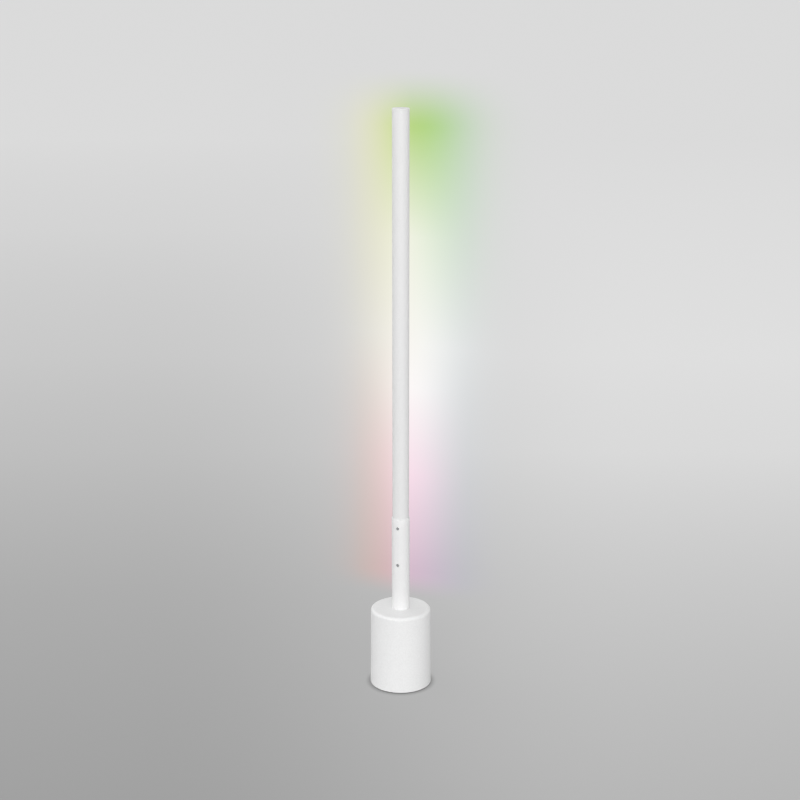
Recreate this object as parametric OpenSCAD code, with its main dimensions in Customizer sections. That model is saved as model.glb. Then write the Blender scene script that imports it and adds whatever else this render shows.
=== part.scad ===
// Corner floor lamp: a slim light pole plugged into a sleeve on a weighted cylindrical base.
// Millimetres, +Z up. The origin is the centre of the foot ring's underside.
// The sleeve screws face the front (-Y) and the light shines out of the back (+Y).

/* [Base] */
// Outer diameter of the base
base_d = 120; // [108:1:180]
// Height of the base's flat top above the floor
base_h = 158; // [140:1:240]
// Wall of the moulded shell
shell_wall = 2.5; // [2:0.1:3]
// Thickness of the shell's top
shell_top = 3; // [2:0.1:6]
// Radius of the shell's rounded top edge
shell_edge_r = 6; // [3:0.1:8]
// Narrowing of the shell from its rim to its top, per side
shell_draft = 1.3; // [0.5:0.1:2.5]
// Gap between the shell's rim and the floor
shell_lift = 1.5; // [0.5:0.1:3]

/* [Foot and ballast] */
// Width of the rubber foot ring
foot_ring_w = 8; // [4:0.5:9]
// Height of the rubber foot ring
foot_ring_h = 2.5; // [1.8:0.1:5]
// Depth of the groove that holds the foot ring
foot_groove = 0.5; // [0.3:0.1:1]
// Distance from the plate's edge to the foot ring
foot_ring_inset = 3; // [1:0.5:5]
// Thickness of the base plate
plate_t = 3; // [2.5:0.1:6]
// Height of the cast ballast
ballast_h = 45; // [36:1:60]
// Radius of the circle that the plate screws stand on
plate_screw_r = 36; // [30:0.5:36]

/* [Inner frame] */
// Sheet thickness of the folded frame
frame_t = 3; // [2:0.1:5]
// Width of the folded frame, front to back
frame_w = 44; // [36:1:54]
// Span over the frame's two legs
frame_span = 88; // [84:1:92]
// Length of each inward foot
frame_foot = 18; // [16:0.5:19]
// Inner bend radius of the sheet
frame_bend_r = 1.5; // [1:0.1:4]

/* [Sleeve] */
// Length of the sleeve above the base
sleeve_l = 188; // [160:1:300]
// Wall of the sleeve
sleeve_wall = 1.35; // [1.2:0.05:3]
// Chamfer on the sleeve's lower edge
sleeve_chamfer = 0.6; // [0.2:0.1:1]
// Height of the turned plug in the sleeve's lower end
sleeve_foot_h = 18; // [14:1:30]
// Outer diameter of the threaded nipple
nipple_d = 12; // [10:1:14]
// Bore of the threaded nipple
nipple_bore = 8.4; // [6:0.1:8.6]
// Width across the flats of the nipple's nut
nipple_nut_af = 18; // [17:1:24]

/* [Light pole] */
// Outer diameter of the pole
pole_d = 32; // [28:0.5:40]
// Length of the pole that shows between sleeve and cap
light_l = 784; // [500:10:1200]
// Length of the pole inside the sleeve
insert_depth = 126; // [115:1:140]
// Wall of the extrusion
pole_wall = 1.6; // [1.2:0.1:2]
// Thickness of the web across the extrusion
web_t = 1.8; // [1.2:0.1:3]
// Half of the angle that the diffuser fills
slot_half_angle = 40; // [34:1:42]
// Height of the end cap
cap_h = 3; // [2.5:0.5:8]
// Radius of the cap's rounded edge
cap_edge_r = 0.8; // [0.4:0.1:1.5]

/* [Sleeve screws] */
// Thread diameter of the two sleeve screws
pole_screw_d = 3; // [3:0.5:4]
// Length of a sleeve screw
pole_screw_l = 10; // [8:1:11]
// Distance from the sleeve's upper edge to the upper screw
pole_screw_drop = 18; // [16:1:24]
// Distance between the two screws
pole_screw_pitch = 76; // [60:1:80]

/* [Light strip] */
// Width of the circuit strip
strip_w = 12; // [10:0.5:14]
// Thickness of the circuit strip
strip_t = 1; // [0.4:0.1:1.6]
// Edge length of a light chip
chip_size = 5; // [3:0.1:5]
// Height of a light chip
chip_h = 1.6; // [0.8:0.1:2]
// Distance from one light chip to the next
chip_pitch = 16.2; // [12:0.1:30]
// Number of light chips in one colour segment
chips_per_segment = 6; // [3:1:10]

/* [Electrics] */
// Diameter of the lead to the strip
strip_lead_d = 4.2; // [3:0.1:4.4]
// Diameter of the lead from the inlet
input_lead_d = 3.8; // [3:0.1:4.4]
// Bore of the power inlet
inlet_bore = 5.9; // [5.6:0.1:6.6]
// Diameter of the inlet's centre pin
inlet_pin_d = 2.1; // [1.6:0.1:2.5]
// Height of the power inlet's axis above the floor
inlet_z = 18; // [17:0.5:24]
// Diameter of the pocket that the inlet stands in
inlet_pocket_d = 17; // [15:0.5:18]
// Depth of the pocket below the base's outline
inlet_pocket_depth = 7; // [5:0.5:8]
// Width of the controller board
board_w = 49; // [48:1:50]
// Length of the controller board
board_l = 66; // [64:1:68]
// Height of the spacers under the controller board
spacer_h = 8; // [6:1:12]

/* [Hidden] */
$fn = 96;

// Clearances
thread_gap = 0.05;    // radial, screw in its tapped hole
shank_gap = 0.2;      // radial, screw in its clearance hole
plug_gap = 0.05;      // radial, sleeve foot in the sleeve
sleeve_fit = 0.15;    // radial, pole in the sleeve
chamber_fit = 0.15;   // between an insert and the pole's front chamber
snap_gap = 0.15;      // between diffuser and pole
plate_gap = 0.5;      // radial, base plate in the shell
ballast_gap = 2.5;    // radial, ballast in the shell
cut = 1;              // how far a cutting solid runs past a face

// Radii of the nested round pieces
shell_r = base_d / 2;
shell_inner_r = shell_r - shell_wall;
plate_r = shell_inner_r - plate_gap;
ballast_r = shell_inner_r - ballast_gap;
foot_ring_r = plate_r - foot_ring_inset;
pole_r = pole_d / 2;
sleeve_inner_r = pole_r + sleeve_fit;
sleeve_r = sleeve_inner_r + sleeve_wall;
chamber_r = pole_r - pole_wall;

// Heights, from the floor up
plate_z = foot_ring_h - foot_groove;
ballast_z = plate_z + plate_t;
ballast_top = ballast_z + ballast_h;
frame_top = base_h - shell_top;
nipple_nut_h = 6;
nipple_washer_t = 1;
washer_z = frame_top - frame_t - nipple_washer_t;
nut_z = washer_z - nipple_nut_h;
nipple_tail = 3;
nipple_z = nut_z - nipple_tail;
nipple_reach = 14;    // into the sleeve foot
sleeve_top = base_h + sleeve_l;
pole_z = sleeve_top - insert_depth;
pole_top = sleeve_top + light_l;
pole_l = pole_top - pole_z;

// Light strip
strip_y = web_t / 2;
strip_overlap = 12;   // strip inside the sleeve
strip_top_gap = 6;    // strip to cap
strip_z = sleeve_top - strip_overlap;
strip_l = pole_top - strip_top_gap - strip_z;
first_chip = strip_overlap + 8;
chip_count = floor((strip_l - first_chip - chip_size) / chip_pitch) + 1;
segment_chip = [3, 1.2, 4];
segment_count = floor(chip_count / chips_per_segment);
connector = [10, 4.5, 6];
connector_lift = 2;   // above the strip's end

// Diffuser and the pole's lips that hold it
diffuser_overlap = 10; // diffuser inside the sleeve
diffuser_end_gap = 0.2;
lip_t = 1.6;
lip_r = 12.2;
leg_t = 1.2;
leg_r = 11;
barb_h = 0.9;
barb_reach = 0.6;

// Insert and cap
anchor_inset = 6;     // anchor block above the pole's lower end
anchor_l = 112;
cap_spigot_l = 12;
cap_groove = 0.5;

// Screws
pole_screw_head_d = 2 * pole_screw_d;
pole_screw_sink = 0.1; // head below the sleeve's surface
pole_head_z = sleeve_r - pole_screw_sink; // from the pole's axis to the head's flat top
head_gap = 0.15;       // radial, head in its conical seat
pole_screw_hex = [2, 1.1];  // width across flats and depth of the socket
plate_screw_hex = [2.5, 1.4];
frame_screw_hex = [4, 2];
board_screw_hex = [2.5, 1.3];
plate_screw_d = 4;
plate_screw_l = 12;
plate_screw_count = 3;
frame_screw_d = 5;
frame_screw_l = 12;
frame_screw_head = [8.5, 3];
frame_screw_y = frame_w / 2 - 9;
frame_screw_x = frame_span / 2 - frame_foot + 7.5;
screw_end_gap = 2;     // tapped hole below a screw's tip
anchor_hole_floor = pole_head_z - pole_screw_l - screw_end_gap; // from the pole's axis
pole_head_reach = pole_r - (pole_head_z - pole_screw_d / 2); // head below the pole's surface
pole_hole_r = pole_screw_d / 2 + max(shank_gap, pole_head_reach + thread_gap);

// Power inlet, along +Y from its tags to its mouth
inlet_flange = [12.8, 1.2];
inlet_barrel_d = 10.8;
inlet_barrel_l = 13;
inlet_bore_l = 9.8;
inlet_pin_recess = 1.2;
inlet_nut_af = 14;
inlet_nut_l = 2.5;
inlet_tag = [2.4, 3, 0.5];
inlet_tag_x = 2.6;
pocket_wall = 2;
pocket_floor_t = 2.5;
inlet_seat_y = shell_r - inlet_pocket_depth;
inlet_face_y = inlet_seat_y + inlet_flange[1];
inlet_back_y = inlet_seat_y - inlet_barrel_l;
notch_w = inlet_pocket_d + 2 * pocket_wall + 3;
notch_y = inlet_back_y - 15;

// Controller board, over the ballast
board_t = 1.6;
board_y = -10;         // middle of the board
board_z = ballast_top + spacer_h;
board_top = board_z + board_t;
board_screw_d = 3;
board_screw_l = 14;
board_screw_head = [5.6, 2.2];
board_hole_inset = [4.5, 5];
spacer_af = 5.5;
input_terminal_size = [10, 8, 10];
terminal_screw = [3, 1];      // diameter and depth of a clamp screw's well
output_terminal_size = [15, 8, 10];
radio_carrier = [16, 22, 0.8];
radio_can = [14, 15, 2.2];
radio_x = -13;
capacitor = [8, 12];          // diameter and height
capacitor_x = 14;
choke_size = [10, 10, 5];
choke_x = 13;
switch_size = [5, 6, 1.6];
switch_count = 4;
switch_pitch = 6.5;
first_switch_x = 2;
input_terminal_y = board_y + board_l / 2 - 8;
output_terminal_y = board_y - board_l / 2 + 6;
terminal_entry_z = board_top + 4.4;

// Routes of the two inner leads, all in the plane x = 0, as [y, z]
lead_steps = 4;
lead_sides = 8;
strip_lead_y = strip_y + strip_t + connector[1] / 2;
connector_z = strip_z + connector_lift;
strip_lead_route = [
    [strip_lead_y, connector_z],
    [strip_lead_y, connector_z - 12],
    [strip_lead_y, pole_z + 40],
    [strip_lead_y, pole_z],
    [strip_lead_y - 2, base_h + 45],
    [0, base_h + 25],
    [0, base_h],
    [0, nipple_z],
    [output_terminal_y * 0.05, nipple_z - 14],
    [output_terminal_y * 0.24, nipple_z - 28],
    [output_terminal_y * 0.52, nipple_z - 40],
    [output_terminal_y * 0.79, board_top + 36],
    [output_terminal_y * 0.95, board_top + 26],
    [output_terminal_y, board_top + 17],
    [output_terminal_y, board_top + 13.5],
    [output_terminal_y, board_top + output_terminal_size[2]]
];
input_lead_start = inlet_back_y - inlet_tag[1];
input_lead_end = input_terminal_y + input_terminal_size[1] / 2;
input_lead_route = [
    [input_lead_start, inlet_z],
    [input_lead_start - 1.5, inlet_z],
    [input_lead_start - 4, inlet_z + 0.8],
    [input_lead_start - 7, inlet_z + 3.8],
    [input_lead_start - 8.5, inlet_z + 9],
    [input_lead_start - 8.5, ballast_top - 8],
    [input_lead_start - 8.3, board_z - 5],
    [input_lead_start - 9.8, terminal_entry_z - 3.4],
    [input_lead_end + 5.5, terminal_entry_z],
    [input_lead_end + 2.5, terminal_entry_z],
    [input_lead_end, terminal_entry_z]
];

// ---------- shared shapes ----------

// A solid turned about +Z whose upper edge is rounded.
module rounded_disc(r, h, edge) {
    rotate_extrude()
        union() {
            square([r, h - edge]);
            square([r - edge, h]);
            translate([r - edge, h - edge]) circle(r = edge);
        }
}

// A solid turned about +Z that narrows from r_foot to r_top and has a rounded upper edge.
module drafted_disc(r_foot, r_top, h, edge) {
    rotate_extrude()
        union() {
            polygon([[0, 0], [r_foot, 0], [r_top, h - edge], [0, h - edge]]);
            square([r_top - edge, h]);
            translate([r_top - edge, h - edge]) circle(r = edge);
        }
}

module tube(r_outer, r_inner, h) {
    difference() {
        cylinder(r = r_outer, h = h);
        translate([0, 0, -cut]) cylinder(r = r_inner, h = h + 2 * cut);
    }
}

module hexagon(across_flats, h) {
    cylinder(r = across_flats / sqrt(3), h = h, $fn = 6);
}

// A box centred on X and Y that stands on z = 0.
module block(size) {
    translate([-size[0] / 2, -size[1] / 2, 0]) cube(size);
}

module rounded_rectangle(w, h, r) {
    union() {
        translate([r, 0]) square([w - 2 * r, h]);
        translate([0, r]) square([w, h - 2 * r]);
        for (x = [r, w - r], y = [r, h - r])
            translate([x, y]) circle(r = r);
    }
}

module left_and_right() {
    children();
    mirror([1, 0, 0]) children();
}

// Turns a solid that points up +Z so that it points out of the lamp's front, at height z.
module from_front(z) {
    translate([0, 0, z]) rotate([90, 0, 0]) children();
}

// Turns a solid that points up +Z so that it points out of the lamp's back, at height z.
module from_back(z) {
    translate([0, 0, z]) rotate([-90, 0, 0]) children();
}

// A countersunk screw with its flat head's top at z = 0 and its tip below.
module countersunk_screw(d, head_d, l, key) {
    head_l = (head_d - d) / 2;
    difference() {
        union() {
            translate([0, 0, -head_l]) cylinder(d1 = d, d2 = head_d, h = head_l);
            translate([0, 0, -l]) cylinder(d = d, h = l - head_l);
        }
        translate([0, 0, -key[1]]) hexagon(key[0], key[1] + cut);
    }
}

// A cylinder-head screw with the underside of its head at z = 0.
module cylinder_head_screw(d, head, l, key) {
    difference() {
        union() {
            cylinder(d = head[0], h = head[1]);
            translate([0, 0, -l]) cylinder(d = d, h = l);
        }
        translate([0, 0, head[1] - key[1]]) hexagon(key[0], key[1] + cut);
    }
}

// Point at share t of the span from b to c, on a smooth curve through a, b, c and d.
function span_point(a, b, c, d, t) =
    0.5 * (2 * b + (c - a) * t + (2 * a - 5 * b + 4 * c - d) * t * t
        + (3 * b - a - 3 * c + d) * t * t * t);

function smooth_route(points, steps) =
    let (last = len(points) - 1)
    [
        for (i = [0 : last - 1], k = [0 : steps - 1])
            span_point(
                points[max(i - 1, 0)], points[i], points[i + 1],
                points[min(i + 2, last)], k / steps
            ),
        points[last]
    ];

// A round lead of diameter d swept along [y, z] points in the plane x = 0.
module lead(points, d) {
    route = smooth_route(points, lead_steps);
    last = len(route) - 1;
    corners = [
        for (i = [0 : last])
            let (
                run = route[min(i + 1, last)] - route[max(i - 1, 0)],
                way = run / norm(run)
            )
            for (k = [0 : lead_sides - 1])
                let (
                    a = 360 * k / lead_sides,
                    across = d / 2 * cos(a),
                    off = d / 2 * sin(a)
                )
                [across, route[i][0] + off * way[1], route[i][1] - off * way[0]]
    ];
    walls = [
        for (i = [0 : last - 1], k = [0 : lead_sides - 1])
            let (
                here = i * lead_sides,
                next = here + lead_sides,
                k2 = (k + 1) % lead_sides
            )
            [here + k, next + k, next + k2, here + k2]
    ];
    start_face = [for (k = [0 : lead_sides - 1]) k];
    end_face = [for (k = [lead_sides - 1 : -1 : 0]) last * lead_sides + k];
    polyhedron(points = corners, faces = concat([start_face, end_face], walls));
}

// ---------- foot, plate and ballast ----------

module foot_ring() {
    color("#26272a")
        tube(foot_ring_r, foot_ring_r - foot_ring_w, foot_ring_h);
}

module at_plate_screws() {
    for (i = [0 : plate_screw_count - 1])
        rotate(i * 360 / plate_screw_count - 90)
            translate([plate_screw_r, 0, 0]) children();
}

module base_plate() {
    color("#b9bcbe")
        translate([0, 0, plate_z])
            difference() {
                cylinder(r = plate_r, h = plate_t);
                translate([0, 0, -cut])
                    tube(foot_ring_r, foot_ring_r - foot_ring_w, foot_groove + cut);
                at_plate_screws() {
                    translate([0, 0, -cut])
                        cylinder(d = plate_screw_d + 2 * shank_gap, h = plate_t + 2 * cut);
                    cylinder(
                        r1 = plate_screw_d + head_gap,
                        r2 = plate_screw_d / 2 + head_gap,
                        h = plate_screw_d / 2
                    );
                }
            }
}

module plate_screws() {
    color("#8d9092")
        translate([0, 0, plate_z])
            at_plate_screws()
                rotate([180, 0, 0])
                    countersunk_screw(
                        plate_screw_d, 2 * plate_screw_d, plate_screw_l, plate_screw_hex
                    );
}

module at_frame_screws() {
    for (x = [-frame_screw_x, frame_screw_x], y = [-frame_screw_y, frame_screw_y])
        translate([x, y, 0]) children();
}

module at_board_screws() {
    x = board_w / 2 - board_hole_inset[0];
    y = board_l / 2 - board_hole_inset[1];
    for (side = [-x, x], end = [-y, y])
        translate([side, board_y + end, 0]) children();
}

// A blind hole that opens upwards at z = 0.
module tapped_hole(d, depth) {
    translate([0, 0, -depth]) cylinder(r = d / 2 + thread_gap, h = depth + cut);
}

module ballast() {
    color("#4a4b4d")
        difference() {
            translate([0, 0, ballast_z]) cylinder(r = ballast_r, h = ballast_h);
            translate([-notch_w / 2, notch_y, ballast_z - cut])
                cube([notch_w, ballast_r, ballast_h + 2 * cut]);
            translate([0, 0, ballast_z])
                at_plate_screws()
                    rotate([180, 0, 0])
                        tapped_hole(plate_screw_d, plate_screw_l - plate_t + screw_end_gap);
            translate([0, 0, ballast_top]) {
                at_frame_screws()
                    tapped_hole(frame_screw_d, frame_screw_l - frame_t + screw_end_gap);
                at_board_screws()
                    tapped_hole(board_screw_d, board_screw_l - board_t - spacer_h + screw_end_gap);
            }
        }
}

// ---------- inner frame and the clamped joint through the shell's top ----------

module frame_outline() {
    h = frame_top - ballast_top;
    difference() {
        translate([-frame_span / 2, 0])
            rounded_rectangle(frame_span, h, frame_bend_r + frame_t);
        translate([-frame_span / 2 + frame_t, frame_t])
            rounded_rectangle(frame_span - 2 * frame_t, h - 2 * frame_t, frame_bend_r);
        translate([-frame_span / 2 + frame_foot, -cut])
            square([frame_span - 2 * frame_foot, frame_t + 2 * cut]);
    }
}

module inner_frame() {
    color("#b9bcbe")
        difference() {
            translate([0, frame_w / 2, ballast_top])
                rotate([90, 0, 0]) linear_extrude(frame_w) frame_outline();
            translate([0, 0, washer_z]) cylinder(r = nipple_d / 2 + shank_gap, h = frame_top);
            translate([0, 0, ballast_top - cut])
                at_frame_screws()
                    cylinder(r = frame_screw_d / 2 + shank_gap, h = frame_t + 2 * cut);
        }
}

module frame_screws() {
    color("#8d9092")
        translate([0, 0, ballast_top + frame_t])
            at_frame_screws()
                cylinder_head_screw(
                    frame_screw_d, frame_screw_head, frame_screw_l, frame_screw_hex
                );
}

// The moulded cup inside the shell's wall that the power inlet is screwed into.
module inlet_pocket_wall() {
    inner_y = inlet_seat_y - pocket_floor_t;
    from_back(inlet_z)
        translate([0, 0, inner_y])
            cylinder(
                d = inlet_pocket_d + 2 * pocket_wall,
                h = shell_inner_r + shell_wall / 4 - inner_y
            );
}

module base_shell() {
    color("white")
        difference() {
            union() {
                difference() {
                    translate([0, 0, shell_lift])
                        drafted_disc(
                            shell_r, shell_r - shell_draft, base_h - shell_lift, shell_edge_r
                        );
                    translate([0, 0, shell_lift - cut])
                        drafted_disc(
                            shell_inner_r, shell_inner_r - shell_draft,
                            frame_top - shell_lift + cut, shell_edge_r - shell_wall
                        );
                }
                inlet_pocket_wall();
            }
            cylinder(r = nipple_d / 2 + shank_gap, h = base_h + cut);
            from_back(inlet_z) {
                cylinder(r = inlet_barrel_d / 2 + shank_gap, h = shell_r + cut);
                translate([0, 0, inlet_seat_y])
                    cylinder(d = inlet_pocket_d, h = inlet_pocket_depth + cut);
            }
        }
}

module threaded_nipple() {
    color("#c2a765")
        translate([0, 0, nipple_z])
            tube(nipple_d / 2, nipple_bore / 2, base_h + nipple_reach - nipple_z);
}

module nipple_washer() {
    outer = nipple_nut_af / 2 + 1.5;
    teeth = 12;
    color("#9a9da0")
        translate([0, 0, washer_z])
            difference() {
                tube(outer, nipple_d / 2 + shank_gap, nipple_washer_t);
                for (i = [0 : teeth - 1])
                    rotate(i * 360 / teeth)
                        translate([outer - 1.4, -0.8, -cut])
                            cube([2, 1.6, nipple_washer_t + 2 * cut]);
            }
}

module nipple_nut() {
    color("#9a9da0")
        translate([0, 0, nut_z])
            difference() {
                hexagon(nipple_nut_af, nipple_nut_h);
                translate([0, 0, -cut])
                    cylinder(r = nipple_d / 2 + thread_gap, h = nipple_nut_h + 2 * cut);
            }
}

module lead_grommet() {
    flange_t = 2;
    neck_l = 5;
    color("#26272a")
        translate([0, 0, nipple_z - flange_t])
            difference() {
                union() {
                    cylinder(r = nipple_d / 2, h = flange_t);
                    cylinder(r = nipple_bore / 2 - thread_gap, h = flange_t + neck_l);
                }
                translate([0, 0, -cut])
                    cylinder(r = strip_lead_d / 2 + shank_gap, h = flange_t + neck_l + 2 * cut);
            }
}

// ---------- sleeve ----------

module sleeve_foot() {
    color("#9a9da0")
        translate([0, 0, base_h])
            tube(sleeve_inner_r - plug_gap, nipple_d / 2 + thread_gap, sleeve_foot_h);
}

module at_pole_screws() {
    for (i = [0, 1])
        from_front(sleeve_top - pole_screw_drop - i * pole_screw_pitch) children();
}

module sleeve() {
    color("white")
        translate([0, 0, base_h])
            difference() {
                union() {
                    cylinder(
                        r1 = sleeve_r - sleeve_chamfer, r2 = sleeve_r, h = sleeve_chamfer
                    );
                    translate([0, 0, sleeve_chamfer])
                        cylinder(r = sleeve_r, h = sleeve_l - sleeve_chamfer);
                }
                translate([0, 0, -cut])
                    cylinder(r = sleeve_inner_r, h = sleeve_l + 2 * cut);
                translate([0, 0, -base_h])
                    at_pole_screws() {
                        cylinder(r = pole_screw_d / 2 + head_gap, h = sleeve_r + cut);
                        translate([0, 0, pole_head_z - pole_screw_d / 2])
                            cylinder(
                                r1 = pole_screw_d / 2 + head_gap,
                                r2 = pole_screw_d + head_gap,
                                h = pole_screw_d / 2
                            );
                        translate([0, 0, pole_head_z])
                            cylinder(r = pole_screw_d + head_gap, h = cut);
                    }
            }
}

// ---------- light pole ----------

// A wedge that opens towards +Y, half_angle to each side.
module wedge(half_angle) {
    reach = 2 * pole_r;
    polygon([
        [0, 0],
        [-reach * sin(half_angle), reach * cos(half_angle)],
        [reach * sin(half_angle), reach * cos(half_angle)]
    ]);
}

// The half-round chamber in front of the web, shrunk by gap on every side.
module front_chamber(gap) {
    difference() {
        circle(r = chamber_r - gap);
        translate([-pole_r, -web_t / 2 - gap]) square([pole_d, pole_d]);
    }
}

module rear_chamber() {
    difference() {
        circle(r = chamber_r);
        translate([-pole_r, web_t / 2 - pole_d]) square([pole_d, pole_d]);
    }
}

// Places a shape at the slot's right edge, with +Y along the radius and -X into the slot.
module at_slot_edge() {
    rotate(-slot_half_angle) children();
}

module pole_outline() {
    difference() {
        circle(r = pole_r);
        front_chamber(0);
        difference() {
            rear_chamber();
            left_and_right()
                at_slot_edge()
                    translate([-lip_t, lip_r]) square([2 * lip_t, pole_r]);
        }
        difference() {
            wedge(slot_half_angle);
            circle(r = lip_r - lip_t);
        }
    }
}

module light_pole() {
    color("white")
        difference() {
            translate([0, 0, pole_z]) linear_extrude(pole_l) pole_outline();
            at_pole_screws()
                translate([0, 0, chamber_r - cut])
                    cylinder(r = pole_hole_r, h = pole_wall + 2 * cut);
        }
}

module anchor_block() {
    color("#a8abad")
        difference() {
            translate([0, 0, pole_z + anchor_inset])
                linear_extrude(anchor_l) front_chamber(chamber_fit);
            at_pole_screws()
                translate([0, 0, anchor_hole_floor])
                    cylinder(r = pole_screw_d / 2 + thread_gap, h = pole_r - anchor_hole_floor);
        }
}

module pole_screws() {
    color("#8d9092")
        at_pole_screws()
            translate([0, 0, pole_head_z])
                countersunk_screw(
                    pole_screw_d, pole_screw_head_d, pole_screw_l, pole_screw_hex
                );
}

module top_cap() {
    color("white")
        union() {
            translate([0, 0, pole_top + cap_groove])
                rounded_disc(pole_r, cap_h - cap_groove, cap_edge_r);
            translate([0, 0, pole_top])
                cylinder(r = pole_r - cap_groove, h = cap_groove);
            translate([0, 0, pole_top - cap_spigot_l])
                linear_extrude(cap_spigot_l) front_chamber(chamber_fit);
        }
}

// ---------- light strip and diffuser ----------

module light_strip() {
    color("#f2f2ee")
        translate([-strip_w / 2, strip_y, strip_z])
            cube([strip_w, strip_t, strip_l]);
}

module light_chips() {
    color("#f6e9a8")
        for (i = [0 : chip_count - 1])
            translate([
                -chip_size / 2,
                strip_y + strip_t,
                strip_z + first_chip + i * chip_pitch
            ])
                cube([chip_size, chip_h, chip_size]);
}

module segment_chips() {
    first = strip_z + first_chip + (chip_pitch + chip_size - segment_chip[2]) / 2;
    color("#2c2d2f")
        for (i = [0 : segment_count - 1])
            translate([
                -segment_chip[0] / 2,
                strip_y + strip_t,
                first + i * chips_per_segment * chip_pitch
            ])
                cube(segment_chip);
}

module strip_connector() {
    color("#efece2")
        translate([-connector[0] / 2, strip_y + strip_t, connector_z])
            cube(connector);
}

module diffuser_outline() {
    gap_angle = asin(snap_gap / pole_r);
    intersection() {
        difference() {
            circle(r = pole_r);
            circle(r = chamber_r);
        }
        wedge(slot_half_angle - gap_angle);
    }
    left_and_right()
        at_slot_edge() {
            translate([-snap_gap - leg_t, leg_r])
                square([leg_t, pole_r - pole_wall / 2 - leg_r]);
            translate([-snap_gap - leg_t / 2, leg_r])
                square([leg_t / 2 + snap_gap + barb_reach, barb_h]);
        }
}

module diffuser() {
    bottom = sleeve_top - diffuser_overlap;
    color("#f7f5f0")
        translate([0, 0, bottom])
            linear_extrude(pole_top - diffuser_end_gap - bottom) diffuser_outline();
}

module strip_lead() {
    color("white") lead(strip_lead_route, strip_lead_d);
}

// ---------- power inlet ----------

module power_inlet() {
    color("#1d1e20")
        from_back(inlet_z)
            difference() {
                union() {
                    translate([0, 0, inlet_seat_y])
                        cylinder(d = inlet_flange[0], h = inlet_flange[1]);
                    translate([0, 0, inlet_back_y])
                        cylinder(d = inlet_barrel_d, h = inlet_barrel_l);
                }
                translate([0, 0, inlet_face_y - inlet_bore_l])
                    cylinder(d = inlet_bore, h = inlet_bore_l + cut);
            }
}

module inlet_pin() {
    floor_y = inlet_face_y - inlet_bore_l;
    color("#c9cbcc")
        from_back(inlet_z)
            translate([0, 0, floor_y])
                cylinder(d = inlet_pin_d, h = inlet_bore_l - inlet_pin_recess);
}

module inlet_tags() {
    color("#c9cbcc")
        for (x = [-inlet_tag_x, inlet_tag_x])
            translate([x - inlet_tag[0] / 2, inlet_back_y - inlet_tag[1], inlet_z - inlet_tag[2] / 2])
                cube(inlet_tag);
}

module inlet_nut() {
    color("#9a9da0")
        from_back(inlet_z)
            translate([0, 0, inlet_seat_y - pocket_floor_t - inlet_nut_l])
                difference() {
                    hexagon(inlet_nut_af, inlet_nut_l);
                    translate([0, 0, -cut])
                        cylinder(r = inlet_barrel_d / 2 + thread_gap, h = inlet_nut_l + 2 * cut);
                }
}

module input_lead() {
    color("#232426") lead(input_lead_route, input_lead_d);
}

// ---------- controller ----------

module board_spacers() {
    color("#c2a765")
        translate([0, 0, ballast_top])
            at_board_screws()
                difference() {
                    hexagon(spacer_af, spacer_h);
                    translate([0, 0, -cut])
                        cylinder(r = board_screw_d / 2 + shank_gap, h = spacer_h + 2 * cut);
                }
}

module controller_board() {
    color("#1f6b45")
        difference() {
            translate([0, board_y, board_z]) block([board_w, board_l, board_t]);
            translate([0, 0, board_z - cut])
                at_board_screws()
                    cylinder(r = board_screw_d / 2 + shank_gap, h = board_t + 2 * cut);
        }
}

module board_screws() {
    color("#8d9092")
        translate([0, 0, board_top])
            at_board_screws()
                cylinder_head_screw(
                    board_screw_d, board_screw_head, board_screw_l, board_screw_hex
                );
}

module input_terminal() {
    top = input_terminal_size[2];
    color("#2f6f9f")
        translate([0, input_terminal_y, board_top])
            difference() {
                block(input_terminal_size);
                for (side = [-1, 1])
                    translate([side * input_terminal_size[0] / 4, -1, top - terminal_screw[1]])
                        cylinder(d = terminal_screw[0], h = terminal_screw[1] + cut);
            }
}

module output_terminal() {
    color("#efece2")
        translate([0, output_terminal_y, board_top]) block(output_terminal_size);
}

module radio_module() {
    color("#c9cbcc")
        translate([radio_x, board_y - 8, board_top])
            union() {
                block(radio_carrier);
                translate([0, -2.5, radio_carrier[2]]) block(radio_can);
            }
}

module capacitors() {
    color("#33353a")
        for (x = [-capacitor_x, capacitor_x])
            translate([x, input_terminal_y - 7, board_top])
                cylinder(d = capacitor[0], h = capacitor[1]);
}

module choke() {
    color("#3b3c3f")
        translate([choke_x, board_y, board_top]) block(choke_size);
}

module power_switches() {
    color("#232426")
        for (i = [0 : switch_count - 1])
            translate([first_switch_x + i * switch_pitch, board_y - 15, board_top])
                block(switch_size);
}

// ---------- assembly ----------

foot_ring();
base_plate();
plate_screws();
ballast();
inner_frame();
frame_screws();
base_shell();
threaded_nipple();
nipple_washer();
nipple_nut();
lead_grommet();
sleeve_foot();
sleeve();
light_pole();
anchor_block();
pole_screws();
light_strip();
light_chips();
segment_chips();
strip_connector();
diffuser();
top_cap();
strip_lead();
power_inlet();
inlet_pin();
inlet_tags();
inlet_nut();
input_lead();
board_spacers();
controller_board();
board_screws();
input_terminal();
output_terminal();
radio_module();
capacitors();
choke();
power_switches();
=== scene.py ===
import math

import bmesh
import bpy
from mathutils import Matrix, Vector


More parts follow.
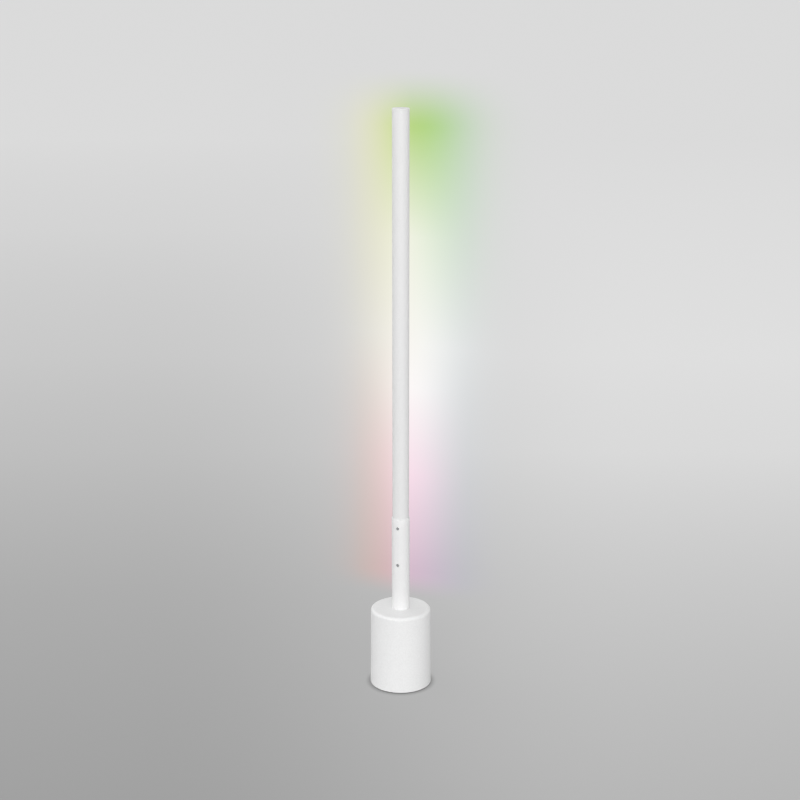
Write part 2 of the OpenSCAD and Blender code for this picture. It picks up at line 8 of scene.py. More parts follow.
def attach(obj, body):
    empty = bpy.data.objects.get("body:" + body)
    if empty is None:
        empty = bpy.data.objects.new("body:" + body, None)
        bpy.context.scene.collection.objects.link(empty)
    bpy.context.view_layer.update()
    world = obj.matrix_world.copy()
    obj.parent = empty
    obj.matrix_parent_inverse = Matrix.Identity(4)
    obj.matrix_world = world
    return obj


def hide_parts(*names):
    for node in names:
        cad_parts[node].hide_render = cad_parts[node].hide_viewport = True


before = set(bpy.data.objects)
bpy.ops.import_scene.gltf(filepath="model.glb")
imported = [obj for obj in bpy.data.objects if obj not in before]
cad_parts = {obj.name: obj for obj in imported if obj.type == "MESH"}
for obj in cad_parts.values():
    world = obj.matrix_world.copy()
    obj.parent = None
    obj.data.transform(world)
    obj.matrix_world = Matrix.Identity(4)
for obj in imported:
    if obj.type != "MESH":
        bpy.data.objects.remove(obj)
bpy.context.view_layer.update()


# ---------- camera ----------
# A lens of 74 mm, 3 m away and 1.43 m up, tipped down a little, 20 degrees round from the
# lamp's front towards +X. The lamp's own light shines away from it.

VIEW_TURN = math.radians(20)
VIEW_DISTANCE = 3.0
VIEW_HEIGHT = 1.4342
VIEW_PITCH = math.radians(15.844)
VIEW_LENS = 73.71
AXIS_SHIFT = 0.0014      # the lamp's axis stands this far right of the picture's middle

towards_camera = Vector((math.sin(VIEW_TURN), -math.cos(VIEW_TURN), 0))
picture_right = Vector((math.cos(VIEW_TURN), math.sin(VIEW_TURN), 0))
camera_data = bpy.data.cameras.new("camera")
camera_data.lens = VIEW_LENS
camera_data.sensor_width = 36
camera_data.clip_start, camera_data.clip_end = 0.1, 300
camera = bpy.data.objects.new("camera", camera_data)
camera.location = towards_camera * VIEW_DISTANCE - picture_right * AXIS_SHIFT
camera.location.z = VIEW_HEIGHT
look = -towards_camera * math.cos(VIEW_PITCH) - Vector((0, 0, math.sin(VIEW_PITCH)))
camera.rotation_euler = look.to_track_quat("-Z", "Y").to_euler()
bpy.context.scene.collection.objects.link(camera)
bpy.context.scene.camera = camera
bpy.context.scene.view_settings.view_transform = "Standard"


# ---------- floor ----------
# One sheet of matt grey paper that runs out to the horizon, with the studio light's falloff
# painted on it: darker in front on the left and paler at the back. Most of its tone is its own,
# so the lamp's shadow on it stays soft.

def linear(colour):
    """The linear value of an sRGB hex colour, with an alpha of 1."""
    parts = [int(colour[i:i + 2], 16) / 255 for i in (1, 3, 5)]
    return tuple(c / 12.92 if c <= 0.04045 else ((c + 0.055) / 1.055) ** 2.4 for c in parts) + (1,)


def add(tree, kind, inputs=None, **settings):
    """Adds a node. An entry of inputs is a value, or an output of another node to link."""
    node = tree.nodes.new(kind)
    for name, value in settings.items():
        setattr(node, name, value)
    for name, value in (inputs or {}).items():
        if isinstance(value, bpy.types.NodeSocket):
            tree.links.new(value, node.inputs[name])
        else:
            node.inputs[name].default_value = value
    return node


def new_material(name):
    """An empty material, its node tree and its output node."""
    material = bpy.data.materials.new(name)
    material.use_nodes = True
    material.node_tree.nodes.clear()
    return material, material.node_tree, add(material.node_tree, "ShaderNodeOutputMaterial")


def set_stops(ramp, stops):
    """Gives a colour ramp its stops, each a position from 0 to 1 and a hex colour."""
    elements = ramp.color_ramp.elements
    while len(elements) < len(stops):
        elements.new(0.5)
    for element, (position, colour) in zip(elements, stops):
        element.position, element.color = position, linear(colour)


def seen_by_eye(tree):
    """1 for a ray from the camera, a mirror or glass, and 0 for a ray that carries light."""
    rays = add(tree, "ShaderNodeLightPath").outputs
    seen = add(tree, "ShaderNodeMath", {
        0: rays["Is Camera Ray"], 1: rays["Is Glossy Ray"]}, operation="MAXIMUM")
    return add(tree, "ShaderNodeMath", {
        0: seen.outputs[0], 1: rays["Is Transmission Ray"]}, operation="MAXIMUM").outputs[0]


FLOOR_REACH = 90         # metres from the lamp to the sheet's edges
FLOOR_OWN_TONE = 0.8     # share of the sheet's tone that no shadow dims
FLOOR_OWN_GAIN = 1.04    # brings that share up to the level of the lit one
SHADOW_REACH = 0.012     # the dark line where the lamp stands reaches this far out
FOLD, FAR = -1.0, 9.0    # metres behind the lamp, where the tones start and where they end
LEFT_EDGE, RIGHT_EDGE = -0.17, 0.16     # metres to the side for each metre of distance
# Painted light falloff: the floor's tones at its left and at its right edge, from front to back
LEFT_PAINTED_FALLOFF = [
    (0.04, "#9f9f9f"), (0.145, "#adadad"), (0.25, "#bebebe"), (0.36, "#c8c8c8"),
    (0.62, "#d3d3d3"), (1.0, "#dadada")]
RIGHT_PAINTED_FALLOFF = [
    (0.04, "#b4b4b4"), (0.145, "#c7c7c7"), (0.25, "#d9d9d9"), (0.36, "#dedede"), (1.0, "#dadada")]

sheet = bpy.data.meshes.new("floor")
sheet.from_pydata(
    [(x * FLOOR_REACH, y * FLOOR_REACH, 0) for x, y in ((-1, -1), (1, -1), (1, 1), (-1, 1))],
    [], [(0, 1, 2, 3)],
)
floor = bpy.data.objects.new("floor", sheet)
bpy.context.scene.collection.objects.link(floor)
paper, tree, out = new_material("matt grey paper")
place = add(tree, "ShaderNodeTexCoord").outputs["Object"]
behind = add(tree, "ShaderNodeVectorMath", {
    0: place, 1: -towards_camera}, operation="DOT_PRODUCT")
sideways = add(tree, "ShaderNodeVectorMath", {
    0: place, 1: picture_right}, operation="DOT_PRODUCT")
# The tones run out from the fold both ways, so that no edge shows in a view from behind
folded = add(tree, "ShaderNodeMath", {0: behind.outputs["Value"], 1: FOLD}, operation="SUBTRACT")
folded = add(tree, "ShaderNodeMath", {0: folded.outputs[0]}, operation="ABSOLUTE")
depth = add(tree, "ShaderNodeMapRange", {"Value": folded.outputs[0], "From Max": FAR - FOLD})
away = add(tree, "ShaderNodeMath", {
    0: folded.outputs[0], 1: VIEW_DISTANCE + FOLD}, operation="ADD")
spread = add(tree, "ShaderNodeMath", {
    0: sideways.outputs["Value"], 1: away.outputs[0]}, operation="DIVIDE")
side = add(tree, "ShaderNodeMapRange", {
    "Value": spread.outputs[0], "From Min": LEFT_EDGE, "From Max": RIGHT_EDGE},
    interpolation_type="SMOOTHSTEP")
left = add(tree, "ShaderNodeValToRGB", {"Fac": depth.outputs["Result"]})
set_stops(left, LEFT_PAINTED_FALLOFF)
right = add(tree, "ShaderNodeValToRGB", {"Fac": depth.outputs["Result"]})
set_stops(right, RIGHT_PAINTED_FALLOFF)
# The painted falloff of the studio light, mixed from the left edge's tones to the right's
falloff_tone = add(tree, "ShaderNodeMix", {
    0: side.outputs["Result"], 6: left.outputs["Color"], 7: right.outputs["Color"]},
    data_type="RGBA")
near_lamp = add(tree, "ShaderNodeAmbientOcclusion", {
    "Color": falloff_tone.outputs[2], "Distance": SHADOW_REACH}, samples=16)
own = add(tree, "ShaderNodeEmission", {
    "Color": near_lamp.outputs["Color"], "Strength": FLOOR_OWN_GAIN})
lit = add(tree, "ShaderNodeBsdfDiffuse", {"Color": falloff_tone.outputs[2]})
share = add(tree, "ShaderNodeMath", {
    0: seen_by_eye(tree), 1: FLOOR_OWN_TONE}, operation="MULTIPLY")
skin = add(tree, "ShaderNodeMixShader", {
    0: share.outputs[0], 1: lit.outputs[0], 2: own.outputs[0]})
tree.links.new(skin.outputs[0], out.inputs["Surface"])
sheet.materials.append(paper)


# ---------- studio light ----------
# An even white dome and two soft lamps low over the floor, one beside the camera and a weaker
# one round on the left. The camera, mirrors and glass see a grey backdrop in the dome's place.

DOME = 0.68
BACKDROP = "#dadada"
SOFTNESS = math.radians(65)
LAMPS = [(18, 6, 2.40), (-100, 6, 0.92)]   # degrees round, degrees up, energy

world = bpy.data.worlds.new("studio")
bpy.context.scene.world = world
world.use_nodes = True
tree = world.node_tree
tree.nodes.clear()
dome = add(tree, "ShaderNodeBackground", {"Color": (1, 1, 1, 1), "Strength": DOME})
wall = add(tree, "ShaderNodeBackground", {"Color": linear(BACKDROP), "Strength": 1.0})
both = add(tree, "ShaderNodeMixShader", {
    0: seen_by_eye(tree), 1: dome.outputs[0], 2: wall.outputs[0]})
add(tree, "ShaderNodeOutputWorld", {"Surface": both.outputs[0]})

for turn, height, energy in LAMPS:
    soft_light = bpy.data.lights.new("soft light", "SUN")
    soft_light.angle = SOFTNESS
    soft_light.energy = energy
    lamp = bpy.data.objects.new("soft light", soft_light)
    turn, height = math.radians(turn), math.radians(height)
    shines_from = Vector((
        math.sin(turn) * math.cos(height), -math.cos(turn) * math.cos(height), math.sin(height)))
    lamp.rotation_euler = (-shines_from).to_track_quat("-Z", "Y").to_euler()
    bpy.context.scene.collection.objects.link(lamp)


# ---------- foot ring ----------
# The ring that the lamp stands on: black EPDM rubber, moulded, glued into the plate's groove.
# Matt, with a fine dull grain and slightly rounded edges.

MM = 0.001               # from here on sizes are written in mm, unless a comment says otherwise
NOISE_LOW, NOISE_HIGH = 0.3, 0.7        # a noise lies mostly between these two


def turned(name, rings, sides=96, closed=False):
    """A mesh turned about +Z from rings of (height, radius), in mm. A radius may also be a
    function of the angle. A closed shape joins its last ring to its first, as a tube does."""
    shape = bmesh.new()
    loops = []
    for height, radius in rings:
        angles = [2 * math.pi * i / sides for i in range(sides)]
        reach = [radius(a) if callable(radius) else radius for a in angles]
        loops.append([
            shape.verts.new((r * MM * math.cos(a), r * MM * math.sin(a), height * MM))
            for a, r in zip(angles, reach)])
    if closed:
        loops.append(loops[0])
    else:
        shape.faces.new(loops[0][::-1])
        shape.faces.new(loops[-1])
    for below, above in zip(loops, loops[1:]):
        for i in range(sides):
            j = (i + 1) % sides
            shape.faces.new((below[i], below[j], above[j], above[i]))
    bmesh.ops.recalc_face_normals(shape, faces=shape.faces)
    mesh = bpy.data.meshes.new(name)
    shape.to_mesh(mesh)
    shape.free()
    return mesh


def smooth(mesh, crease=32):
    """Shades a mesh smooth, except over edges sharper than crease degrees."""
    for face in mesh.polygons:
        face.use_smooth = True
    mesh.set_sharp_from_angle(angle=math.radians(crease))
    return mesh


def stand_for(node, mesh, slot, *finishes):
    """Makes a mesh the visible piece for a CAD node, on the lamp's body. The slot is not used."""
    if finishes:
        mesh.materials.clear()
        for finish in finishes:
            mesh.materials.append(finish)
    piece = bpy.data.objects.new(node + "_piece", mesh)
    bpy.context.scene.collection.objects.link(piece)
    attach(piece, "root")
    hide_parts(node)


def dress(node, finish):
    """Gives a CAD node that keeps its own shape its finish."""
    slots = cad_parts[node].data.materials
    slots.clear()
    slots.append(finish)


def grained(name, dark, light, grain, depth, smoothest, roughest, stretch=(1, 1, 1), metallic=0.0):
    """A finish whose grain is grain mm wide and depth mm high. It runs from the dark to the
    light colour and between the two roughnesses. A stretch under 1 draws it out on that axis."""
    material, tree, out = new_material(name)
    place = add(tree, "ShaderNodeTexCoord").outputs["Object"]
    place = add(tree, "ShaderNodeMapping", {"Vector": place, "Scale": stretch}).outputs["Vector"]
    speckle = add(tree, "ShaderNodeTexNoise", {
        "Vector": place, "Scale": 1 / (grain * MM), "Detail": 2.0, "Roughness": 0.55})
    speckle = speckle.outputs["Fac"]
    colour = add(tree, "ShaderNodeValToRGB", {"Fac": speckle})
    set_stops(colour, [(NOISE_LOW, dark), (NOISE_HIGH, light)])
    sheen = add(tree, "ShaderNodeMapRange", {
        "Value": speckle, "From Min": NOISE_LOW, "From Max": NOISE_HIGH,
        "To Min": smoothest, "To Max": roughest})
    bump = add(tree, "ShaderNodeBump", {"Height": speckle, "Strength": 1.0, "Distance": depth * MM})
    shader = add(tree, "ShaderNodeBsdfPrincipled", {
        "Base Color": colour.outputs["Color"], "Roughness": sheen.outputs["Result"],
        "Normal": bump.outputs["Normal"], "Metallic": metallic})
    tree.links.new(shader.outputs[0], out.inputs["Surface"])
    return material


foot_rubber = grained("moulded black rubber", "#1e1f21", "#2b2c2f", 0.9, 0.03, 0.62, 0.80)
stand_for("foot_ring", smooth(turned("foot_ring", [
    (0, 46.4), (0, 53.6), (0.12, 53.88), (0.4, 54), (2.5, 54), (2.5, 46), (0.4, 46), (0.12, 46.12),
], closed=True)), "foot_rubber", foot_rubber)


# ---------- base plate and its screws ----------
# The disc that closes the base from below: stamped steel, bright zinc plated, which leaves a
# faint blue-grey cloud of crystals. Three countersunk socket screws hold it to the ballast.

zinc_steel = grained(
    "bright zinc on sheet steel", "#a9adb3", "#c6c9cc", 5.0, 0.004, 0.26, 0.42, metallic=1.0)
screw_steel = grained(
    "turned stainless steel", "#b9babb", "#cfd0d1", 0.6, 0.002, 0.22, 0.34, metallic=1.0)
dress("base_plate", zinc_steel)


def hexagon(across_flats):
    """The radius of a hexagon, in mm, as a function of the angle."""
    def radius(angle):
        return across_flats / 2 / math.cos(angle % (math.pi / 3) - math.pi / 6)
    return radius


THREAD_STEPS, THREAD_DEPTH = 4, 0.3     # rings in a pitch, and depth as a share of the pitch


def thread(crest, pitch, low, high):
    """Rings of a screw thread from low to high, a turn for each pitch."""
    steps = round((high - low) / pitch * THREAD_STEPS)
    depth = THREAD_DEPTH * pitch
    rings = []
    for k in range(steps + 1):
        height = low + (high - low) * k / steps
        turn = 2 * math.pi * height / pitch
        rings.append((height, lambda a, turn=turn: crest - depth + depth * math.cos(a - turn)))
    return rings


def countersunk_screw(name, d, head_d, length, flats, deep, pitch):
    """A socket screw with its flat head's top at z = 0 and its tip below."""
    head = (head_d - d) / 2
    r = d / 2
    return turned(name, [
        (-length, r * 0.62), (-length + 0.3 * r, r * 0.85),
        *thread(r, pitch, -length + 0.4 * r, -head - 0.3 * pitch),
        (-head, r), (-0.03 * head_d, head_d / 2 - 0.06), (-0.015 * head_d, head_d / 2),
        (-0.02, head_d / 2 - 0.03), (0, head_d / 2 - 0.1),
        (0, hexagon(flats * 1.1)), (-0.08 * flats, hexagon(flats)), (-deep, hexagon(flats)),
    ], sides=36)


def new_tree(name, *sockets):
    """A geometry-node tree with its named inputs, and its input and output nodes."""
    tree = bpy.data.node_groups.new(name, "GeometryNodeTree")
    for label, kind in (("Geometry", "Geometry"),) + sockets:
        tree.interface.new_socket(label, in_out="INPUT", socket_type="NodeSocket" + kind)
    tree.interface.new_socket("Geometry", in_out="OUTPUT", socket_type="NodeSocketGeometry")
    return tree, add(tree, "NodeGroupInput").outputs, add(tree, "NodeGroupOutput").inputs


def grow(tree, mesh, values):
    """Runs a geometry-node tree on a mesh and returns what it makes as a plain mesh."""
    carrier = bpy.data.objects.new("carrier", mesh)
    bpy.context.scene.collection.objects.link(carrier)
    modifier = carrier.modifiers.new("grow", "NODES")
    modifier.node_group = tree
    for item in tree.interface.items_tree:
        if item.in_out == "INPUT" and item.name in values:
            modifier[item.identifier] = values[item.name]
    ready = carrier.evaluated_get(bpy.context.evaluated_depsgraph_get())
    grown = bpy.data.meshes.new_from_object(ready)
    bpy.data.objects.remove(carrier)
    return grown


def coat_and_end(tree, shape, given, result):
    """Ends a tree: the finish goes on every face that is still in the first material slot."""
    slot = add(tree, "GeometryNodeInputMaterialIndex").outputs[0]
    bare = add(tree, "FunctionNodeCompare", {2: slot, 3: 0}, data_type="INT", operation="EQUAL")
    coated = add(tree, "GeometryNodeSetMaterial", {
        "Geometry": shape, "Selection": bare.outputs[0], "Material": given["Finish"]})
    tree.links.new(coated.outputs[0], result["Geometry"])


SAME_PLACE = 1e-6        # metres: points nearer than this are one point

# Copies of a piece that is already at its radius, set round the axis
ring, given, result = new_tree(
    "set round a ring", ("Count", "Int"), ("First angle", "Float"), ("Finish", "Material"))
spots = add(ring, "GeometryNodeMeshLine", {"Count": given["Count"], "Offset": (0, 0, 0)})
step = add(ring, "ShaderNodeMath", {0: 2 * math.pi, 1: given["Count"]}, operation="DIVIDE")
index = add(ring, "GeometryNodeInputIndex").outputs[0]
angle = add(ring, "ShaderNodeMath", {
    0: index, 1: step.outputs[0], 2: given["First angle"]}, operation="MULTIPLY_ADD")
turn = add(ring, "ShaderNodeCombineXYZ", {"Z": angle.outputs[0]})
copies = add(ring, "GeometryNodeInstanceOnPoints", {
    "Points": spots.outputs[0], "Instance": given["Geometry"], "Rotation": turn.outputs[0]})
solid = add(ring, "GeometryNodeRealizeInstances", {"Geometry": copies.outputs[0]})
joined = add(ring, "GeometryNodeMergeByDistance", {
    "Geometry": solid.outputs[0], "Distance": SAME_PLACE})
coat_and_end(ring, joined.outputs[0], given, result)

PLATE_SCREW_RADIUS, PLATE_UNDERSIDE = 36, 2
screw = countersunk_screw("plate_screws", 4, 8, 12, 2.5, 1.4, 0.7)
screw.transform(
    Matrix.Translation((PLATE_SCREW_RADIUS * MM, 0, PLATE_UNDERSIDE * MM))
    @ Matrix.Rotation(math.pi, 4, "X"))
stand_for("plate_screws", smooth(grow(ring, screw, {
    "Count": 3, "First angle": -math.pi / 2, "Finish": screw_steel})), "screw_steel")


# ---------- ballast ----------
# The weight in the base: grey cast iron, sand cast and dipped in dark primer, so its skin is
# pitted like coarse sand. Its notch at the back leaves room for the power inlet.

dress("ballast", grained("primed cast iron", "#2b2c2d", "#454647", 1.4, 0.16, 0.55, 0.82))


# ---------- inner frame and its screws ----------
# A folded strip of zinc-plated sheet steel that carries the pole over the ballast, with a
# socket cap screw through each corner of its feet.

dress("inner_frame", zinc_steel)


def cap_screw(name, d, head_d, head_h, length, flats, deep, pitch):
    """A socket cap screw with the underside of its head at z = 0."""
    r, rim = d / 2, head_d / 2
    return turned(name, [
        (-length, r * 0.7), (-length + 0.3 * r, r * 0.85),
        *thread(r, pitch, -length + 0.4 * r, -0.6), (-0.1, r), (0, r), (0, rim - 0.1), (0.1, rim),
        (head_h - 0.25, rim), (head_h - 0.07, rim - 0.08), (head_h, rim - 0.3),
        (head_h, hexagon(flats * 1.1)), (head_h - 0.06 * flats, hexagon(flats)),
        (head_h - deep, hexagon(flats)),
    ], sides=36)


# Copies of a piece in rows: a row of Count at Step, and Rows of those at Row step
rows, given, result = new_tree(
    "set out in rows", ("Start", "Vector"), ("Count", "Int"), ("Step", "Vector"),
    ("Rows", "Int"), ("Row step", "Vector"), ("Finish", "Material"))
row = add(rows, "GeometryNodeMeshLine", {
    "Count": given["Count"], "Start Location": given["Start"], "Offset": given["Step"]})
starts = add(rows, "GeometryNodeMeshLine", {"Count": given["Rows"], "Offset": given["Row step"]})
grid = add(rows, "GeometryNodeInstanceOnPoints", {
    "Points": starts.outputs[0], "Instance": row.outputs[0]})
spots = add(rows, "GeometryNodeRealizeInstances", {"Geometry": grid.outputs[0]})
copies = add(rows, "GeometryNodeInstanceOnPoints", {
    "Points": spots.outputs[0], "Instance": given["Geometry"]})
solid = add(rows, "GeometryNodeRealizeInstances", {"Geometry": copies.outputs[0]})
coat_and_end(rows, solid.outputs[0], given, result)


def in_rows(mesh, finish, start, count, step, row_count=1, row_step=(0, 0, 0)):
    """Sets a mesh out in rows, with places and steps in mm."""
    return grow(rows, mesh, {
        "Start": [v * MM for v in start], "Count": count, "Step": [v * MM for v in step],
        "Rows": row_count, "Row step": [v * MM for v in row_step], "Finish": finish})


FRAME_SCREW_X, FRAME_SCREW_Y, FRAME_FOOT_TOP = 33.5, 13, 53
stand_for("frame_screws", smooth(in_rows(
    cap_screw("frame_screws", 5, 8.5, 3, 12, 4, 2, 0.8), screw_steel,
    (-FRAME_SCREW_X, -FRAME_SCREW_Y, FRAME_FOOT_TOP), 2, (2 * FRAME_SCREW_X, 0, 0),
    2, (0, 2 * FRAME_SCREW_Y, 0))), "screw_steel")


# ---------- base shell ----------
# The visible base: a cup injection moulded in ABS and sprayed satin white. The spray leaves a
# shallow orange peel about 3 mm across and a soft sheen. Its draft narrows it upwards.

dress("base_shell", grained(
    "satin white paint on ABS", "#ebebeb", "#f1f1f1", 3.0, 0.006, 0.40, 0.47))


# ---------- clamp through the shell's top ----------
# A brass threaded nipple, a toothed steel washer and a nut pull the sleeve's foot down on the
# shell and the frame. A rubber bush keeps the lead off the nipple's edge.

NUT_CHAMFER = math.tan(math.radians(30))
brass = grained("turned brass", "#b3945a", "#cbb078", 0.5, 0.003, 0.24, 0.38, metallic=1.0)


def nut_rings(flats, low, high, bore):
    """Rings of a hexagon nut whose corners are turned off at 30 degrees."""
    flat = hexagon(flats)
    face, corner = flats / 2 * 0.97, flats / math.sqrt(3)
    cut = [
        ((reach - face) * NUT_CHAMFER, lambda a, reach=reach: min(flat(a), reach))
        for reach in (face + (corner - face) * k / 5 for k in range(6))]
    return (
        [(low + drop, reach) for drop, reach in cut]
        + [(high - drop, reach) for drop, reach in reversed(cut)]
        + [(high, bore + 0.5), (high - 0.5, bore), (low + 0.5, bore), (low, bore + 0.5)])


stand_for("threaded_nipple", smooth(turned("threaded_nipple", [
    (142, 4.5), (142, 5.5), *thread(6, 1.0, 142.5, 171.5), (172, 5.5), (172, 4.5),
    (171.7, 4.2), (142.3, 4.2),
], sides=72, closed=True), 50), "nipple_brass", brass)
stand_for("nipple_nut", smooth(turned(
    "nipple_nut", nut_rings(18, 145, 151, 6.05), sides=144, closed=True)), "zinc_steel", zinc_steel)

# One toothed twelfth of the washer, with its angles in degrees from the tooth's middle
WASHER_RADII = (6.2, 9.1, 10.5)         # of the bore, the teeth's roots and their tips
WASHER_MIDDLE, WASHER_T = 151.5, 0.7
TWELFTH, TOOTH = 15, 10.5               # half the angle of each
TOOTH_LIFT = 0.15                       # one corner of a tooth is bent up and one down by this
steps = (-TWELFTH, -TOOTH, -3.5, 3.5, TOOTH, TWELFTH)
shape = bmesh.new()
corner = {}
for angle in steps:
    for place, radius in enumerate(WASHER_RADII):
        for face in (-1, 1):
            lift = TOOTH_LIFT * angle / TOOTH if place == 2 else 0
            a = math.radians(angle)
            corner[angle, place, face] = shape.verts.new((
                radius * math.cos(a) * MM, radius * math.sin(a) * MM,
                (WASHER_MIDDLE + face * WASHER_T / 2 + lift) * MM))


def washer_face(*corners):
    """A face between corners of (angle, place in WASHER_RADII, -1 under or 1 on top)."""
    shape.faces.new([corner[key] for key in corners])


for a, b in zip(steps, steps[1:]):
    rim = 2 if max(-a, b) <= TOOTH else 1
    for inner in range(rim):
        outer = inner + 1
        washer_face((a, inner, 1), (a, outer, 1), (b, outer, 1), (b, inner, 1))
        washer_face((b, inner, -1), (b, outer, -1), (a, outer, -1), (a, inner, -1))
    washer_face((a, rim, 1), (a, rim, -1), (b, rim, -1), (b, rim, 1))
    washer_face((b, 0, 1), (b, 0, -1), (a, 0, -1), (a, 0, 1))
washer_face((-TOOTH, 1, 1), (-TOOTH, 1, -1), (-TOOTH, 2, -1), (-TOOTH, 2, 1))
washer_face((TOOTH, 2, 1), (TOOTH, 2, -1), (TOOTH, 1, -1), (TOOTH, 1, 1))
for vert in [v for v in shape.verts if not v.link_faces]:
    shape.verts.remove(vert)
twelfth = bpy.data.meshes.new("nipple_washer")
shape.to_mesh(twelfth)
shape.free()
stand_for("nipple_washer", smooth(grow(ring, twelfth, {
    "Count": 12, "First angle": 0.0, "Finish": zinc_steel})), "zinc_steel")
stand_for("lead_grommet", smooth(turned("lead_grommet", [
    (140, 2.8), (140, 5.6), (140.12, 5.88), (140.4, 6), (141.6, 6), (141.88, 5.88), (142, 5.6),
    (142, 4.15), (146.6, 4.15), (147, 3.8), (147, 2.6), (146.7, 2.3), (140.5, 2.3),
], sides=48, closed=True)), "foot_rubber", foot_rubber)


# ---------- sleeve foot and sleeve ----------
# The sleeve is drawn steel tube, powder coated white: about the sheen of the shell's paint, with
# a finer grain of 1.5 mm. A turned steel plug pressed into its lower end takes the nipple.

SLEEVE_FOOT, SLEEVE_TOP = 158, 346
SLEEVE_R, SLEEVE_IN = 17.5, 16.15
SCREW_HEIGHTS = (328, 252)
SCREW_STEP = (0, 0, SCREW_HEIGHTS[1] - SCREW_HEIGHTS[0])
SCREW_HEAD_Y = -17.4
NEAR_SCREW = 4           # rings this far over and under a screw keep the wall's shading even

turned_steel = grained(
    "turned steel", "#9da0a3", "#b9bbbd", 0.8, 0.004, 0.24, 0.36,
    stretch=(0.1, 0.1, 1), metallic=1.0)
stand_for("sleeve_foot", smooth(turned("sleeve_foot", [
    (158, 6.6), (158, 15.6), (158.5, 16.1), (175.5, 16.1), (176, 15.6), (176, 6.6),
    (175.4, 6.05), (158.6, 6.05),
], closed=True)), "turned_steel", turned_steel)

# Cuts a tool's shape out of the piece at Count places, Step apart
bored, given, result = new_tree(
    "bore", ("Tool", "Object"), ("Start", "Vector"), ("Count", "Int"), ("Step", "Vector"),
    ("Finish", "Material"))
tool = add(bored, "GeometryNodeObjectInfo", {"Object": given["Tool"]})
spots = add(bored, "GeometryNodeMeshLine", {
    "Count": given["Count"], "Start Location": given["Start"], "Offset": given["Step"]})
tools = add(bored, "GeometryNodeInstanceOnPoints", {
    "Points": spots.outputs[0], "Instance": tool.outputs["Geometry"]})
tools = add(bored, "GeometryNodeRealizeInstances", {"Geometry": tools.outputs[0]})
holed = add(bored, "GeometryNodeMeshBoolean", {
    "Mesh 1": given["Geometry"], "Mesh 2": tools.outputs[0]},
    operation="DIFFERENCE", solver="EXACT")
coat_and_end(bored, holed.outputs[0], given, result)

FACE_FRONT = Matrix.Rotation(math.pi / 2, 4, "X")    # turns +Z to the lamp's front, -Y
FACE_BACK = Matrix.Rotation(-math.pi / 2, 4, "X")    # turns +Z to the lamp's back, +Y


def bore(mesh, finish, rings, turn, start, count, step):
    """Cuts a turned shape out of a mesh, count times, with places in mm."""
    shape = turned("tool", rings, sides=48)
    shape.transform(turn)
    tool = bpy.data.objects.new("tool", shape)
    bpy.context.scene.collection.objects.link(tool)
    cut = grow(bored, mesh, {
        "Tool": tool, "Start": [v * MM for v in start], "Count": count,
        "Step": [v * MM for v in step], "Finish": finish})
    bpy.data.objects.remove(tool)
    return cut


white_sleeve_coat = grained(
    "white powder coat on steel", "#eaeaea", "#efefef", 1.5, 0.005, 0.38, 0.46)
sleeve = turned("sleeve", [
    (SLEEVE_FOOT, SLEEVE_IN), (SLEEVE_FOOT, SLEEVE_R - 0.6), (SLEEVE_FOOT + 0.6, SLEEVE_R),
    *[(height + away, SLEEVE_R)
      for height in SCREW_HEIGHTS[::-1] for away in (-NEAR_SCREW, NEAR_SCREW)],
    (SLEEVE_TOP - 0.35, SLEEVE_R), (SLEEVE_TOP - 0.1, SLEEVE_R - 0.1),
    (SLEEVE_TOP, SLEEVE_R - 0.35), (SLEEVE_TOP, SLEEVE_IN + 0.2), (SLEEVE_TOP - 0.2, SLEEVE_IN),
], sides=128, closed=True)
stand_for("sleeve", smooth(bore(
    sleeve, white_sleeve_coat, [(-3, 1.65), (-1.5, 1.65), (0, 3.15), (1, 3.15)], FACE_FRONT,
    (0, SCREW_HEAD_Y, SCREW_HEIGHTS[0]), 2, SCREW_STEP)), "white_sleeve_coat")


# ---------- light pole ----------
# A round aluminium extrusion with a channel along its back, powder coated white outside. One
# drawn outline runs the whole length, so it is extruded from that outline.

POLE_R, POLE_IN = 16, 14.4
POLE_FOOT, POLE_TOP = 220, 1130
WEB = 0.9                # half the thickness of the web across the extrusion
SLOT = math.radians(40)  # half the angle of the slot, from +Y
LIP_R, LIP_T = 12.2, 1.6


def arc(radius, start, end, steps):
    """Points on a circle, in mm, between two angles measured from +Y towards +X."""
    return [
        (radius * math.sin(start + (end - start) * i / steps),
         radius * math.cos(start + (end - start) * i / steps)) for i in range(steps + 1)]


def beside_slot(out, along):
    """A point along the slot's right edge and out to the side of it, away from the slot."""
    return (
        along * math.sin(SLOT) + out * math.cos(SLOT),
        along * math.cos(SLOT) - out * math.sin(SLOT))


def outline(name, *loops):
    """A mesh of closed edge loops on z = 0, in mm."""
    verts, edges = [], []
    for loop in loops:
        first = len(verts)
        verts += [(x * MM, y * MM, 0) for x, y in loop]
        edges += [(first + i, first + (i + 1) % len(loop)) for i in range(len(loop))]
    mesh = bpy.data.meshes.new(name)
    mesh.from_pydata(verts, edges, [])
    return mesh


def both_sides(right):
    """A loop from the points of its right half, which starts at the back and ends in front."""
    return right + [(-x, y) for x, y in reversed(right)]


